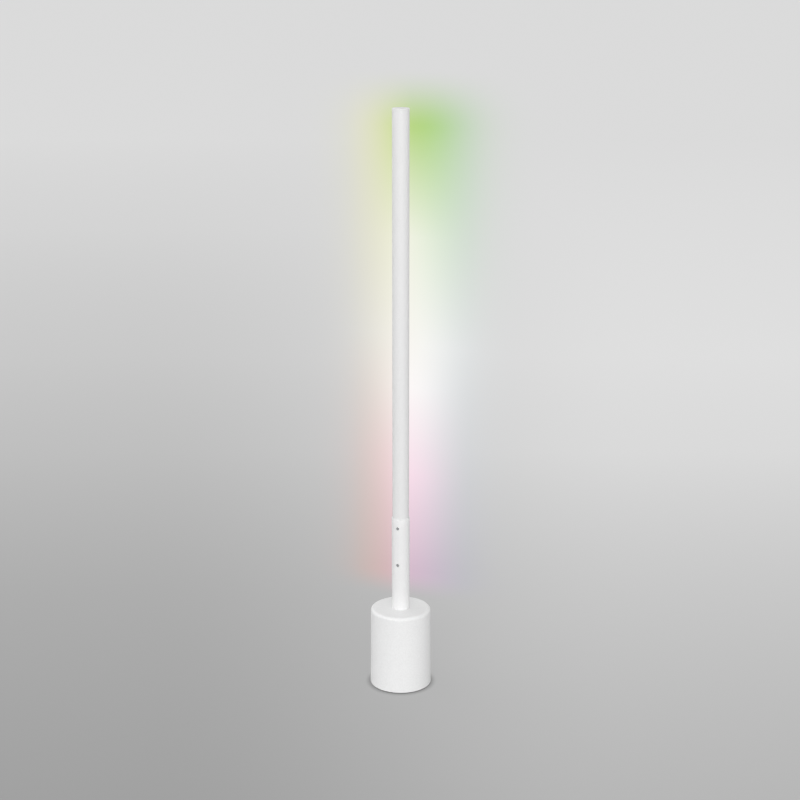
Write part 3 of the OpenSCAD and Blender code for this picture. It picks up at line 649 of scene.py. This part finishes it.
# Extrudes an outline with holes along +Z and closes both ends
extruded, given, result = new_tree(
    "extrude", ("Foot", "Float"), ("Length", "Float"), ("Finish", "Material"))
curve = add(extruded, "GeometryNodeMeshToCurve", {"Mesh": given["Geometry"]})
end = add(extruded, "GeometryNodeFillCurve", {"Curve": curve.outputs[0]}, mode="NGONS")
up = add(extruded, "ShaderNodeCombineXYZ", {"Z": given["Length"]})
run = add(extruded, "GeometryNodeExtrudeMesh", {
    "Mesh": end.outputs[0], "Offset": up.outputs[0], "Offset Scale": 1.0, "Individual": False},
    mode="FACES")
under = add(extruded, "GeometryNodeFlipFaces", {"Mesh": end.outputs[0]})
whole = add(extruded, "GeometryNodeJoinGeometry")
extruded.links.new(run.outputs[0], whole.inputs[0])
extruded.links.new(under.outputs[0], whole.inputs[0])
closed = add(extruded, "GeometryNodeMergeByDistance", {
    "Geometry": whole.outputs[0], "Distance": SAME_PLACE})
lift = add(extruded, "ShaderNodeCombineXYZ", {"Z": given["Foot"]})
stood = add(extruded, "GeometryNodeTransform", {
    "Geometry": closed.outputs[0], "Translation": lift.outputs[0]})
coat_and_end(extruded, stood.outputs[0], given, result)

lip_end = SLOT + math.asin(LIP_T / POLE_IN)
web_end = math.acos(WEB / POLE_IN)
front_end = math.acos(-WEB / POLE_IN)
wall = both_sides(
    [beside_slot(0, POLE_R), beside_slot(0, LIP_R), beside_slot(LIP_T, LIP_R)]
    + arc(POLE_IN, lip_end, web_end, 16))
wall = wall + arc(POLE_R, 2 * math.pi - SLOT, SLOT, 120)[1:-1]
almost_front = math.pi - 0.001          # so that the two halves don't share a point
chamber = both_sides(arc(POLE_IN, front_end, almost_front, 36))
white_pole_coat = grained(
    "white powder coat on aluminium", "#e4e4e4", "#e9e9e9", 1.5, 0.005, 0.38, 0.46)
pole = grow(extruded, outline("light_pole", wall, chamber), {
    "Foot": POLE_FOOT * MM, "Length": (POLE_TOP - POLE_FOOT) * MM, "Finish": white_pole_coat})
stand_for("light_pole", smooth(bore(
    pole, white_pole_coat, [(-1.3, 1.7), (2.6, 1.7)], FACE_FRONT,
    (0, -POLE_IN, SCREW_HEIGHTS[0]), 2, SCREW_STEP)), "white_pole_coat")


# ---------- anchor block and sleeve screws ----------
# A bar of drawn aluminium in the pole's front chamber, tapped twice. Two stainless M3 socket
# screws go through sleeve and pole into it, with their flat heads level with the coat.

bare_aluminium = grained(
    "drawn aluminium", "#b0b3b6", "#c8cacc", 0.7, 0.003, 0.28, 0.44,
    stretch=(1, 1, 0.05), metallic=1.0)
dress("anchor_block", bare_aluminium)
screw = countersunk_screw("pole_screws", 3, 6, 10, 2, 1.1, 0.5)
screw.transform(FACE_FRONT)
stand_for("pole_screws", smooth(in_rows(
    screw, screw_steel, (0, SCREW_HEAD_Y, SCREW_HEIGHTS[0]), 2, SCREW_STEP)), "screw_steel")


# ---------- light strip, its chips and its connector ----------
# A stiff circuit strip with a white solder mask, with four tinned pads at each cut. Forty-eight
# light chips stand on it, and a driver chip on every sixth, and a nylon connector ends it.

STRIP_FOOT, STRIP_LENGTH = 334, 790
STRIP_T, PAD_T = 1, 0.03
CHIPS_Y = WEB + STRIP_T  # the strip lies on the web, and its chips stand on the strip
FIRST_CHIP, CHIP_PITCH, CHIP_COUNT = 20, 16.2, 48
CHIPS_PER_SEGMENT = 6
CHIP, CHIP_H = 5, 1.6    # a chip's side and height


def moulded(name, blocks, edge):
    """A mesh of separate blocks with edges rounded by edge mm. Each block is its low corner,
    its high corner and its material slot."""
    shape = bmesh.new()
    for low, high, slot in blocks:
        size = [b - a for a, b in zip(low, high)]
        middle = [(a + b) / 2 * MM for a, b in zip(low, high)]
        made = bmesh.ops.create_cube(shape, size=1, matrix=Matrix.LocRotScale(
            Vector(middle), None, Vector([s * MM for s in size])))
        width = min(edge, 0.3 * min(size)) * MM
        sides = {e for v in made["verts"] for e in v.link_edges}
        faces = {f for v in made["verts"] for f in v.link_faces}
        rounded = bmesh.ops.bevel(
            shape, geom=list(sides), offset=width, segments=2, profile=0.6, affect="EDGES")
        for face in {f for f in faces if f.is_valid} | set(rounded["faces"]):
            face.material_index = slot
    mesh = bpy.data.meshes.new(name)
    shape.to_mesh(mesh)
    shape.free()
    return mesh


def merged(name, *meshes):
    """One mesh of several, with their material slots kept."""
    shape = bmesh.new()
    for mesh in meshes:
        shape.from_mesh(mesh)
    mesh = bpy.data.meshes.new(name)
    shape.to_mesh(mesh)
    shape.free()
    return mesh


tin = grained("bright tin plate", "#c4c6c8", "#dcdddd", 0.6, 0.002, 0.18, 0.32, metallic=1.0)
strip_mask = grained("white solder mask", "#e8e8e4", "#f3f3ef", 0.8, 0.002, 0.26, 0.36)
strip = moulded("light_strip", [
    ((-6, WEB, STRIP_FOOT), (6, CHIPS_Y - PAD_T, STRIP_FOOT + STRIP_LENGTH), 0)], 0.05)
segment = CHIP_PITCH * CHIPS_PER_SEGMENT
first_cut = STRIP_FOOT + FIRST_CHIP + CHIP / 2 - CHIP_PITCH / 2 + segment
pad = moulded("pad", [((-0.8, 0, -1.2), (0.8, PAD_T, 1.2), 0)], 0.01)
pads = in_rows(pad, tin, (-4.2, CHIPS_Y - PAD_T, first_cut), 4, (2.8, 0, 0), 7, (0, 0, segment))
for face in pads.polygons:
    face.material_index = 1
stand_for("light_strip", smooth(merged("light_strip", strip, pads)), "strip_board", strip_mask, tin)


def square(side, corner=0.93):
    """The radius of a square with its corners cut off a little, as a function of the angle."""
    def radius(angle):
        flat = side / 2 / max(abs(math.cos(angle)), abs(math.sin(angle)))
        return min(flat, side / 2 * math.sqrt(2) * corner)
    return radius


def more_finishes(mesh, *finishes):
    """Gives a mesh finishes after its first one, whose slot stays free for its main finish."""
    for finish in (None,) + finishes:
        mesh.materials.append(finish)


# A light chip: white frame, a round well of yellow phosphor gel, three tinned feet each side
chip_frame = grained("white heat-proof nylon", "#e9e8e2", "#f4f3ee", 0.7, 0.002, 0.38, 0.48)
phosphor, tree, out = new_material("yellow phosphor in silicone gel")
place = add(tree, "ShaderNodeTexCoord").outputs["Object"]
powder = add(tree, "ShaderNodeTexNoise", {"Vector": place, "Scale": 1 / (0.4 * MM), "Detail": 2.0})
colour = add(tree, "ShaderNodeValToRGB", {"Fac": powder.outputs["Fac"]})
set_stops(colour, [(NOISE_LOW, "#e8cf62"), (NOISE_HIGH, "#f2dd86")])
gel = add(tree, "ShaderNodeBsdfPrincipled", {
    "Base Color": colour.outputs["Color"], "Roughness": 0.15,
    "Emission Color": linear("#fff3d0"), "Emission Strength": 1.0})
tree.links.new(gel.outputs[0], out.inputs["Surface"])
body = turned("chip", [
    (0, square(4.4)), (0.25, square(4.6)), (CHIP_H - 0.1, square(4.6)), (CHIP_H, square(4.4)),
    (CHIP_H, 1.95), (CHIP_H - 0.4, 1.75),
], sides=16)
for face in body.polygons:
    height = min(body.vertices[v].co.z for v in face.vertices) / MM
    across = max(body.vertices[v].co.xy.length for v in face.vertices) / MM
    face.material_index = 1 if height > CHIP_H - 0.5 and across < 2 else 0
feet = moulded("feet", [
    ((side * 2.4 - 0.1, y - 0.45, 0), (side * 2.4 + 0.1, y + 0.45, 0.5), 2)
    for side in (-1, 1) for y in (-1.5, 0, 1.5)], 0.03)
chip = merged("chip", body, feet)
more_finishes(chip, phosphor, tin)
chip.transform(Matrix.Translation((0, 0, CHIP / 2 * MM)) @ FACE_BACK)
stand_for("light_chips", smooth(in_rows(
    chip, chip_frame, (0, CHIPS_Y, STRIP_FOOT + FIRST_CHIP), CHIP_COUNT, (0, 0, CHIP_PITCH))),
    "light_chip")

DRIVER_LENGTH = 4
black_component = grained("moulded black epoxy", "#19191b", "#28282a", 0.4, 0.006, 0.42, 0.58)
driver = moulded("driver", [((-1.1, 0.1, 0.15), (1.1, 1.2, 3.85), 0)] + [
    ((side * 1.25 - 0.25, 0, z - 0.2), (side * 1.25 + 0.25, 0.45, z + 0.2), 1)
    for side in (-1, 1) for z in (0.55, 1.5, 2.5, 3.45)], 0.12)
more_finishes(driver, tin)
between_chips = (CHIP_PITCH + CHIP - DRIVER_LENGTH) / 2
stand_for("segment_chips", smooth(in_rows(
    driver, black_component, (0, CHIPS_Y, STRIP_FOOT + FIRST_CHIP + between_chips),
    CHIP_COUNT // CHIPS_PER_SEGMENT, (0, 0, segment))), "black_component")

ivory_nylon = grained("moulded ivory nylon", "#e6e2d6", "#f1eee4", 1.0, 0.008, 0.36, 0.48)
stand_for("strip_connector", smooth(moulded("strip_connector", [
    ((-4.6, 1.9, 336), (4.6, 6.0, 342), 0), ((-5, 1.9, 336), (-4.2, 5.2, 341.4), 0),
    ((4.2, 1.9, 336), (5, 5.2, 341.4), 0), ((-1.5, 5.4, 337.2), (1.5, 6.4, 341.2), 0),
    ((-3.6, 5.6, 336), (-2.4, 6.3, 342), 0), ((2.4, 5.6, 336), (3.6, 6.3, 342), 0),
], 0.25)), "ivory_nylon", ivory_nylon)


# ---------- diffuser ----------
# An extruded opal polycarbonate cover that snaps under the pole's lips and spreads the chips'
# light. It glows green at the top, through yellow and white, to pink and red at the bottom.

DIFFUSER_FOOT, DIFFUSER_TOP = 336, 1129.8
SNAP = 0.15              # gap to the slot's edge
LEG_T, LEG_R = 1.2, 11
GLOW_STRENGTH, CHIP_SPOT = 0.8, 0.04    # and the share by which it swings from chip to chip

inner_end = SLOT - math.asin((SNAP + LEG_T) / POLE_IN)
half = arc(POLE_R, 0, SLOT - math.asin(SNAP / POLE_R), 30) + [
    beside_slot(out, along) for out, along in (
        (-SNAP, LEG_R + 0.9), (0.6, LEG_R + 0.9), (0.6, LEG_R + 0.55), (0.1, LEG_R),
        (-SNAP - LEG_T, LEG_R))] + arc(POLE_IN, inner_end, 0, 24)
cover = half[:-1] + [(-x, y) for x, y in reversed(half[1:])]

opal, tree, out = new_material("opal polycarbonate, lit")
place = add(tree, "ShaderNodeTexCoord").outputs["Object"]
height = add(tree, "ShaderNodeSeparateXYZ", {"Vector": place}).outputs["Z"]
along = add(tree, "ShaderNodeMapRange", {
    "Value": height, "From Min": SLEEVE_TOP * MM, "From Max": POLE_TOP * MM}).outputs["Result"]
hue = add(tree, "ShaderNodeValToRGB", {"Fac": along})
set_stops(hue, [(0.0, "#ff5f7d"), (0.16, "#ff8fa6"), (0.33, "#ffd2da"), (0.47, "#fff8ee"),
                (0.62, "#f7f5c4"), (0.80, "#c4e67c"), (1.0, "#86cf4a")])
chips_behind = add(tree, "ShaderNodeMath", {
    0: height, 1: 2 * math.pi / (CHIP_PITCH * MM)}, operation="MULTIPLY")
chips_behind = add(tree, "ShaderNodeMath", {0: chips_behind.outputs[0]}, operation="SINE")
strength = add(tree, "ShaderNodeMapRange", {
    "Value": chips_behind.outputs[0], "From Min": -1.0, "From Max": 1.0,
    "To Min": GLOW_STRENGTH * (1 - CHIP_SPOT), "To Max": GLOW_STRENGTH * (1 + CHIP_SPOT)})
frost = add(tree, "ShaderNodeTexNoise", {"Vector": place, "Scale": 1 / (0.8 * MM), "Detail": 2.0})
matt = add(tree, "ShaderNodeMapRange", {
    "Value": frost.outputs["Fac"], "To Min": 0.38, "To Max": 0.50})
bump = add(tree, "ShaderNodeBump", {
    "Height": frost.outputs["Fac"], "Strength": 1.0, "Distance": 0.002 * MM})
skin = add(tree, "ShaderNodeBsdfPrincipled", {
    "Base Color": linear("#8c8b88"), "Roughness": matt.outputs["Result"], "IOR": 1.58,
    "Normal": bump.outputs["Normal"],
    "Emission Color": hue.outputs["Color"], "Emission Strength": strength.outputs["Result"]})
tree.links.new(skin.outputs[0], out.inputs["Surface"])
stand_for("diffuser", smooth(grow(extruded, outline("diffuser", cover), {
    "Foot": DIFFUSER_FOOT * MM, "Length": (DIFFUSER_TOP - DIFFUSER_FOOT) * MM, "Finish": opal})),
    "opal_diffuser")


# ---------- end cap ----------
# A plug moulded in white ABS, pushed into the pole's front chamber. It is left as moulded, so
# it is a little smoother than the powder coat under it.

dress("top_cap", grained("satin moulded ABS", "#e6e6e6", "#ebebeb", 2.0, 0.004, 0.30, 0.38))


# ---------- strip lead ----------
# The lead from the controller up through the nipple to the strip: cores in one round white PVC
# jacket, soft and slightly waxy, which follows its route in slack bends.

STRIP_LEAD_D, INPUT_LEAD_D = 4.2, 3.8

# Sweeps a round section along a route
swept, given, result = new_tree("sweep", ("Radius", "Float"), ("Finish", "Material"))
curve = add(swept, "GeometryNodeMeshToCurve", {"Mesh": given["Geometry"]})
curve = add(swept, "GeometryNodeCurveSplineType", {
    "Curve": curve.outputs[0]}, spline_type="CATMULL_ROM")
curve = add(swept, "GeometryNodeSetSplineResolution", {
    "Geometry": curve.outputs[0], "Resolution": 8})
section = add(swept, "GeometryNodeCurvePrimitiveCircle", {
    "Resolution": 24, "Radius": given["Radius"]}, mode="RADIUS")
tube = add(swept, "GeometryNodeCurveToMesh", {
    "Curve": curve.outputs[0], "Profile Curve": section.outputs["Curve"], "Fill Caps": True})
coat_and_end(swept, tube.outputs[0], given, result)


def lead(name, route, diameter, finish):
    """A lead in the plane x = 0 along its route's (y, z) points, in mm."""
    mesh = bpy.data.meshes.new(name)
    mesh.from_pydata(
        [(0, y * MM, z * MM) for y, z in route], [(i, i + 1) for i in range(len(route) - 1)], [])
    return smooth(grow(swept, mesh, {"Radius": diameter / 2 * MM, "Finish": finish}), 60)


stand_for("strip_lead", lead("strip_lead", [
    (4.15, 336), (4.15, 324), (4.15, 260), (4.15, 220), (2.15, 203), (0, 183), (0, 158), (0, 142),
    (-1.85, 128), (-8.88, 114), (-19.24, 102), (-29.23, 95.6), (-35.15, 85.6), (-37, 76.6),
    (-37, 73.1), (-37, 69.6),
], STRIP_LEAD_D, grained("white PVC", "#e9e9e6", "#f1f1ee", 1.5, 0.006, 0.36, 0.46)), "white_lead")


# ---------- power inlet ----------
# A round low-voltage socket in the back of the base, for a plug with a 2.1 mm bore: a black
# phenolic barrel with a screw thread, nickel-plated pin and tags, and a nut inside the shell.

INLET_Z = 18
to_inlet = Matrix.Translation((0, 0, INLET_Z * MM)) @ FACE_BACK
inlet = turned("power_inlet", [
    (40, 4.9), (40.4, 5.3), *thread(5.4, 0.75, 40.6, 52.4), (52.8, 5.2), (53, 5.2), (53, 6.2),
    (53.15, 6.4), (53.9, 6.4), (54.12, 6.28), (54.2, 6.1), (54.2, 3.3), (54.1, 3.08), (53.8, 2.95),
    (44.4, 2.95),
], sides=72)
inlet.transform(to_inlet)
stand_for("power_inlet", smooth(inlet, 50), "black_component", black_component)
nickel = grained("bright nickel plate", "#c0bdb6", "#d8d6d0", 0.8, 0.001, 0.12, 0.24, metallic=1.0)
pin = turned("inlet_pin", [
    (44.4, 1.05), (52.4, 1.05), (52.75, 0.93), (52.93, 0.7), (53, 0.4)], sides=36)
pin.transform(to_inlet)
stand_for("inlet_pin", smooth(pin), "plated_contact", nickel)
tag_outline = [
    (-1.2, 3), (-1.2, 1), (-0.9, 0.35), (-0.4, 0), (0.4, 0), (0.9, 0.35), (1.2, 1), (1.2, 3)]
tag_hole = [
    (0.55 * math.cos(i * math.pi / 8), 1.25 + 0.55 * math.sin(i * math.pi / 8))
    for i in range(16)]
tag = grow(extruded, outline("inlet_tags", tag_outline, tag_hole), {
    "Foot": -0.25 * MM, "Length": 0.5 * MM, "Finish": nickel})
stand_for("inlet_tags", smooth(in_rows(
    tag, nickel, (-2.6, 37, INLET_Z), 2, (5.2, 0, 0))), "plated_contact")
nut = turned("inlet_nut", nut_rings(14, 48, 50.5, 5.45), sides=144, closed=True)
nut.transform(to_inlet)
stand_for("inlet_nut", smooth(nut), "zinc_steel", zinc_steel)
stand_for("input_lead", lead("input_lead", [
    (37, 18), (35.5, 18), (33, 18.8), (30, 21.8), (28.5, 27), (28.5, 42), (28.7, 53), (27.2, 60.6),
    (24.5, 64), (21.5, 64), (19, 64),
], INPUT_LEAD_D, grained("black PVC", "#1b1b1d", "#262628", 1.5, 0.006, 0.38, 0.50)), "black_lead")


# ---------- controller board ----------
# A glass-epoxy board with a green solder mask on hexagon spacers over the ballast. Copper
# tracks show through the mask as paler lines about 0.6 mm wide, and its screws stand on it.

BOARD_TOP = 59.6
BOARD_X, BOARD_Y, BOARD_MIDDLE = 20, 28, -10

board, tree, out = new_material("green solder mask over copper tracks")
place = add(tree, "ShaderNodeTexCoord").outputs["Object"]
cells = add(tree, "ShaderNodeTexVoronoi", {
    "Vector": place, "Scale": 1 / (6 * MM), "Randomness": 0.75},
    feature="DISTANCE_TO_EDGE", voronoi_dimensions="3D")
track = add(tree, "ShaderNodeMapRange", {
    "Value": cells.outputs["Distance"], "From Min": 0.09, "From Max": 0.05}).outputs["Result"]
colour = add(tree, "ShaderNodeMix", {
    0: track, 6: linear("#1b5a3b"), 7: linear("#2f7d54")}, data_type="RGBA")
gloss = add(tree, "ShaderNodeTexNoise", {"Vector": place, "Scale": 1 / (3 * MM)})
gloss = add(tree, "ShaderNodeMapRange", {
    "Value": gloss.outputs["Fac"], "To Min": 0.22, "To Max": 0.36})
bump = add(tree, "ShaderNodeBump", {"Height": track, "Strength": 1.0, "Distance": 0.03 * MM})
mask = add(tree, "ShaderNodeBsdfPrincipled", {
    "Base Color": colour.outputs[2], "Roughness": gloss.outputs["Result"],
    "Normal": bump.outputs["Normal"], "Coat Weight": 0.3, "Coat Roughness": 0.15})
tree.links.new(mask.outputs[0], out.inputs["Surface"])
dress("controller_board", board)

# A spacer has a nut's corners and a shallower countersink
spacer = turned("board_spacers", nut_rings(5.5, 50, 58, 1.7)[:-4] + [
    (58, 2.0), (57.7, 1.7), (50.3, 1.7), (50, 2.0)], sides=72, closed=True)
corners = ((-BOARD_X, BOARD_MIDDLE - BOARD_Y, 0), 2, (2 * BOARD_X, 0, 0), 2, (0, 2 * BOARD_Y, 0))
stand_for("board_spacers", smooth(in_rows(spacer, brass, *corners)), "nipple_brass")
screw = cap_screw("board_screws", 3, 5.6, 2.2, 14, 2.5, 1.3, 0.5)
screw.transform(Matrix.Translation((0, 0, BOARD_TOP * MM)))
stand_for("board_screws", smooth(in_rows(screw, screw_steel, *corners)), "screw_steel")


# ---------- terminals ----------
# The input's screw terminal is blue glass-filled nylon with slotted zinc screws in its wells.
# The output's housing is ivory nylon, and the strip's lead plugs into its top.

TERMINAL_TOP = BOARD_TOP + 10
blue_nylon = grained("moulded blue nylon", "#2a6796", "#3779aa", 0.9, 0.01, 0.38, 0.52)
block = moulded("input_terminal", [((-5, 11, BOARD_TOP), (5, 19, TERMINAL_TOP), 0)], 0.35)
wells = ((-2.5, 14, TERMINAL_TOP), 2, (5, 0, 0))
block = bore(block, blue_nylon, [(-1, 1.5), (0.5, 1.5)], Matrix.Identity(4), *wells)
clamp = turned("clamp", [(-0.98, 1.35), (-0.4, 1.35), (-0.25, 1.2)], sides=24)
driver_slot = [(-0.6, square(1, 2)), (0.1, square(1, 2))]
clamp = bore(clamp, zinc_steel, driver_slot, Matrix.Diagonal((0.5, 3.2, 1, 1)),
             (0, 0, 0), 1, (0, 0, 0))
clamps = in_rows(clamp, zinc_steel, *wells)
for face in clamps.polygons:
    face.material_index = 1
stand_for("input_terminal", smooth(merged("input_terminal", block, clamps)), "blue_terminal",
          blue_nylon, zinc_steel)
stand_for("output_terminal", smooth(moulded("output_terminal", [
    ((-7.5, -41, BOARD_TOP), (7.5, -33, BOARD_TOP + 7), 0),
    ((-6.6, -40.4, BOARD_TOP + 6.8), (6.6, -33.6, BOARD_TOP + 9.2), 0),
    ((-3.6, -40.2, BOARD_TOP + 9), (3.6, -33.8, TERMINAL_TOP), 0),
] + [((x - 0.5, -33.8, BOARD_TOP + 1), (x + 0.5, -33, BOARD_TOP + 8.6), 0)
     for x in (-5.2, -1.8, 1.8, 5.2)], 0.3)), "ivory_nylon", ivory_nylon)


# ---------- parts on the board ----------
# A radio module under a tinned can, two electrolytic capacitors in shrunk sleeves, a shielded
# choke and four power switches, all soldered to the board.

RADIO_X, RADIO_Y = -13, -18
AERIAL_PITCH, TRACK_W, TRACK_LOW = 2.2, 0.6, BOARD_TOP + 0.77
copper_track = grained(
    "gilt copper track", "#c29a55", "#d9b778", 0.6, 0.001, 0.22, 0.32, metallic=1.0)
radio_board = grained("dark blue solder mask", "#142a48", "#1d3a60", 2.0, 0.004, 0.24, 0.36)
# The aerial is one track that folds to and fro: seven runs, joined by six links between them
aerial = []
for i in range(7):
    x, y = RADIO_X - 6.6 + AERIAL_PITCH * i, RADIO_Y + 5.8
    aerial.append(((x, y, TRACK_LOW), (x + TRACK_W, y + 4.2, BOARD_TOP + 0.8), 2))
for i in range(6):
    x, y = RADIO_X - 6.1 + AERIAL_PITCH * i, RADIO_Y + (9.3 if i % 2 else 5.9)
    aerial.append(((x, y, TRACK_LOW), (x + 1.8, y + TRACK_W, BOARD_TOP + 0.79), 2))
stand_for("radio_module", smooth(moulded("radio_module", [
    ((RADIO_X - 8, RADIO_Y - 11, BOARD_TOP), (RADIO_X + 8, RADIO_Y + 11, BOARD_TOP + 0.78), 1),
    ((RADIO_X - 7, RADIO_Y - 10, BOARD_TOP + 0.78), (RADIO_X + 7, RADIO_Y + 5, BOARD_TOP + 3), 0),
] + aerial, 0.45)), "plated_contact", tin, radio_board, copper_track)

can_sleeve = grained("dark shrunk PET sleeve", "#23262d", "#30343c", 1.2, 0.004, 0.20, 0.34)
CAN_TOP = 11.85          # above this the sleeve ends and the bare can shows
can = turned("capacitors", [
    (0, 3.55), (0.35, 3.95), (1.5, 4), (1.9, 3.7), (2.3, 4), (11.4, 4), (11.8, 3.85), (12, 3.4),
    (11.9, 3.1),
], sides=48)
for face in can.polygons:
    on_top = min(can.vertices[v].co.z for v in face.vertices) > CAN_TOP * MM
    face.material_index = 1 if on_top else 0
more_finishes(can, bare_aluminium)
stand_for("capacitors", smooth(in_rows(
    can, can_sleeve, (-14, 8, BOARD_TOP), 2, (28, 0, 0))), "capacitor_sleeve")

ferrite = grained("pressed ferrite", "#2a2a2c", "#3b3b3e", 0.5, 0.02, 0.48, 0.66)
choke = turned("choke", [
    (0, square(9.6, 0.88)), (0.2, square(10, 0.88)), (4.7, square(10, 0.88)),
    (5, square(9.5, 0.88)), (5, 4.3), (4.4, 4.2), (4.4, 3.7), (4.9, 3.6),
], sides=48)
choke.transform(Matrix.Translation((13 * MM, -10 * MM, BOARD_TOP * MM)))
stand_for("choke", smooth(choke), "black_component", ferrite)

switch = moulded("power_switches", [
    ((-2.4, -2.0, 0.05), (2.4, 2.2, 1.6), 0), ((-2.5, 1.6, 0), (2.5, 3, 0.5), 1),
    ((-1.9, -3, 0), (-1.1, -1.6, 0.5), 1), ((1.1, -3, 0), (1.9, -1.6, 0.5), 1)], 0.2)
more_finishes(switch, tin)
stand_for("power_switches", smooth(in_rows(
    switch, black_component, (2, -25, BOARD_TOP), 4, (6.5, 0, 0))), "black_component")


# ---------- glow on the air behind the lamp ----------
# The wash of the lamp's own light behind it, green at the top, through yellow and white, to
# pink. It is a sheet that only the camera sees, from the front, and it isn't part of the lamp.

WASH_BACK = 0.086        # behind the lamp's axis, in metres, as are all the sheet's sizes
WASH_X = 0.0055          # its middle, to the right of the axis
WASH_WIDTH = 0.101       # it has faded to a third this far to each side
WASH_REACH = 0.30        # half the width of the sheet
WASH_PEAK = 0.96         # how much of what is behind it the wash hides at its strongest
WASH_LOW, WASH_HIGH = 0.14, 1.20        # its lower and upper edges, where it has faded away
WASH_LOW_FULL, WASH_HIGH_FULL = 0.20, 1.08
WASH_LEFT = [(0.06, "#eaad9c"), (0.29, "#fbcbbe"), (0.52, "#fff9e2"), (0.85, "#f0f096")]
WASH_MIDDLE = [
    (0.06, "#d6bccd"), (0.25, "#fae0ec"), (0.42, "#fffbfa"), (0.70, "#f0f3e2"), (0.90, "#b6d67c")]
WASH_RIGHT = [(0.08, "#bdbccb"), (0.50, "#edf3f4"), (0.77, "#b9dfb4"), (0.92, "#98d17c")]
LEFT_X, MIDDLE_X, RIGHT_X = -0.118, -0.011, 0.112   # where those three rows of tones hold

card = bpy.data.meshes.new("wash")
card.from_pydata([
    (WASH_X + side * WASH_REACH, WASH_BACK, height)
    for side, height in ((-1, WASH_LOW), (1, WASH_LOW), (1, WASH_HIGH), (-1, WASH_HIGH))],
    [], [(0, 1, 2, 3)])
wash = bpy.data.objects.new("wash", card)
bpy.context.scene.collection.objects.link(wash)
light_wash, tree, out = new_material("wash of coloured light")
place = add(tree, "ShaderNodeTexCoord").outputs["Object"]
parts = add(tree, "ShaderNodeSeparateXYZ", {"Vector": place}).outputs
level = add(tree, "ShaderNodeMapRange", {
    "Value": parts["Z"], "From Min": WASH_LOW, "From Max": WASH_HIGH}).outputs["Result"]
hues = []
for stops in (WASH_LEFT, WASH_MIDDLE, WASH_RIGHT):
    hue = add(tree, "ShaderNodeValToRGB", {"Fac": level})
    set_stops(hue, stops)
    hues.append(hue.outputs["Color"])
to_middle = add(tree, "ShaderNodeMapRange", {
    "Value": parts["X"], "From Min": LEFT_X, "From Max": MIDDLE_X}).outputs["Result"]
to_right = add(tree, "ShaderNodeMapRange", {
    "Value": parts["X"], "From Min": MIDDLE_X, "From Max": RIGHT_X}).outputs["Result"]
colour = add(tree, "ShaderNodeMix", {0: to_middle, 6: hues[0], 7: hues[1]}, data_type="RGBA")
colour = add(tree, "ShaderNodeMix", {
    0: to_right, 6: colour.outputs[2], 7: hues[2]}, data_type="RGBA")
off = add(tree, "ShaderNodeMath", {0: parts["X"], 1: WASH_X}, operation="SUBTRACT")
off = add(tree, "ShaderNodeMath", {0: off.outputs[0], 1: WASH_WIDTH}, operation="DIVIDE")
off = add(tree, "ShaderNodeMath", {0: off.outputs[0], 1: off.outputs[0]}, operation="MULTIPLY")
off = add(tree, "ShaderNodeMath", {0: off.outputs[0], 1: -1.0}, operation="MULTIPLY")
across = add(tree, "ShaderNodeMath", {0: math.e, 1: off.outputs[0]}, operation="POWER")
below = add(tree, "ShaderNodeMapRange", {
    "Value": parts["Z"], "From Min": WASH_LOW, "From Max": WASH_LOW_FULL, "To Max": WASH_PEAK},
    interpolation_type="SMOOTHSTEP")
above = add(tree, "ShaderNodeMapRange", {
    "Value": parts["Z"], "From Min": WASH_HIGH, "From Max": WASH_HIGH_FULL},
    interpolation_type="SMOOTHSTEP")
from_behind = add(tree, "ShaderNodeNewGeometry").outputs["Backfacing"]
from_front = add(tree, "ShaderNodeMath", {0: 1.0, 1: from_behind}, operation="SUBTRACT")
by_camera = add(tree, "ShaderNodeLightPath").outputs["Is Camera Ray"]
veil = across
for factor in (below.outputs["Result"], above.outputs["Result"], from_front.outputs[0], by_camera):
    veil = add(tree, "ShaderNodeMath", {0: veil.outputs[0], 1: factor}, operation="MULTIPLY")
clear = add(tree, "ShaderNodeBsdfTransparent")
shine = add(tree, "ShaderNodeEmission", {"Color": colour.outputs[2], "Strength": 1.0})
sheet_skin = add(tree, "ShaderNodeMixShader", {
    0: veil.outputs[0], 1: clear.outputs[0], 2: shine.outputs[0]})
tree.links.new(sheet_skin.outputs[0], out.inputs["Surface"])
card.materials.append(light_wash)
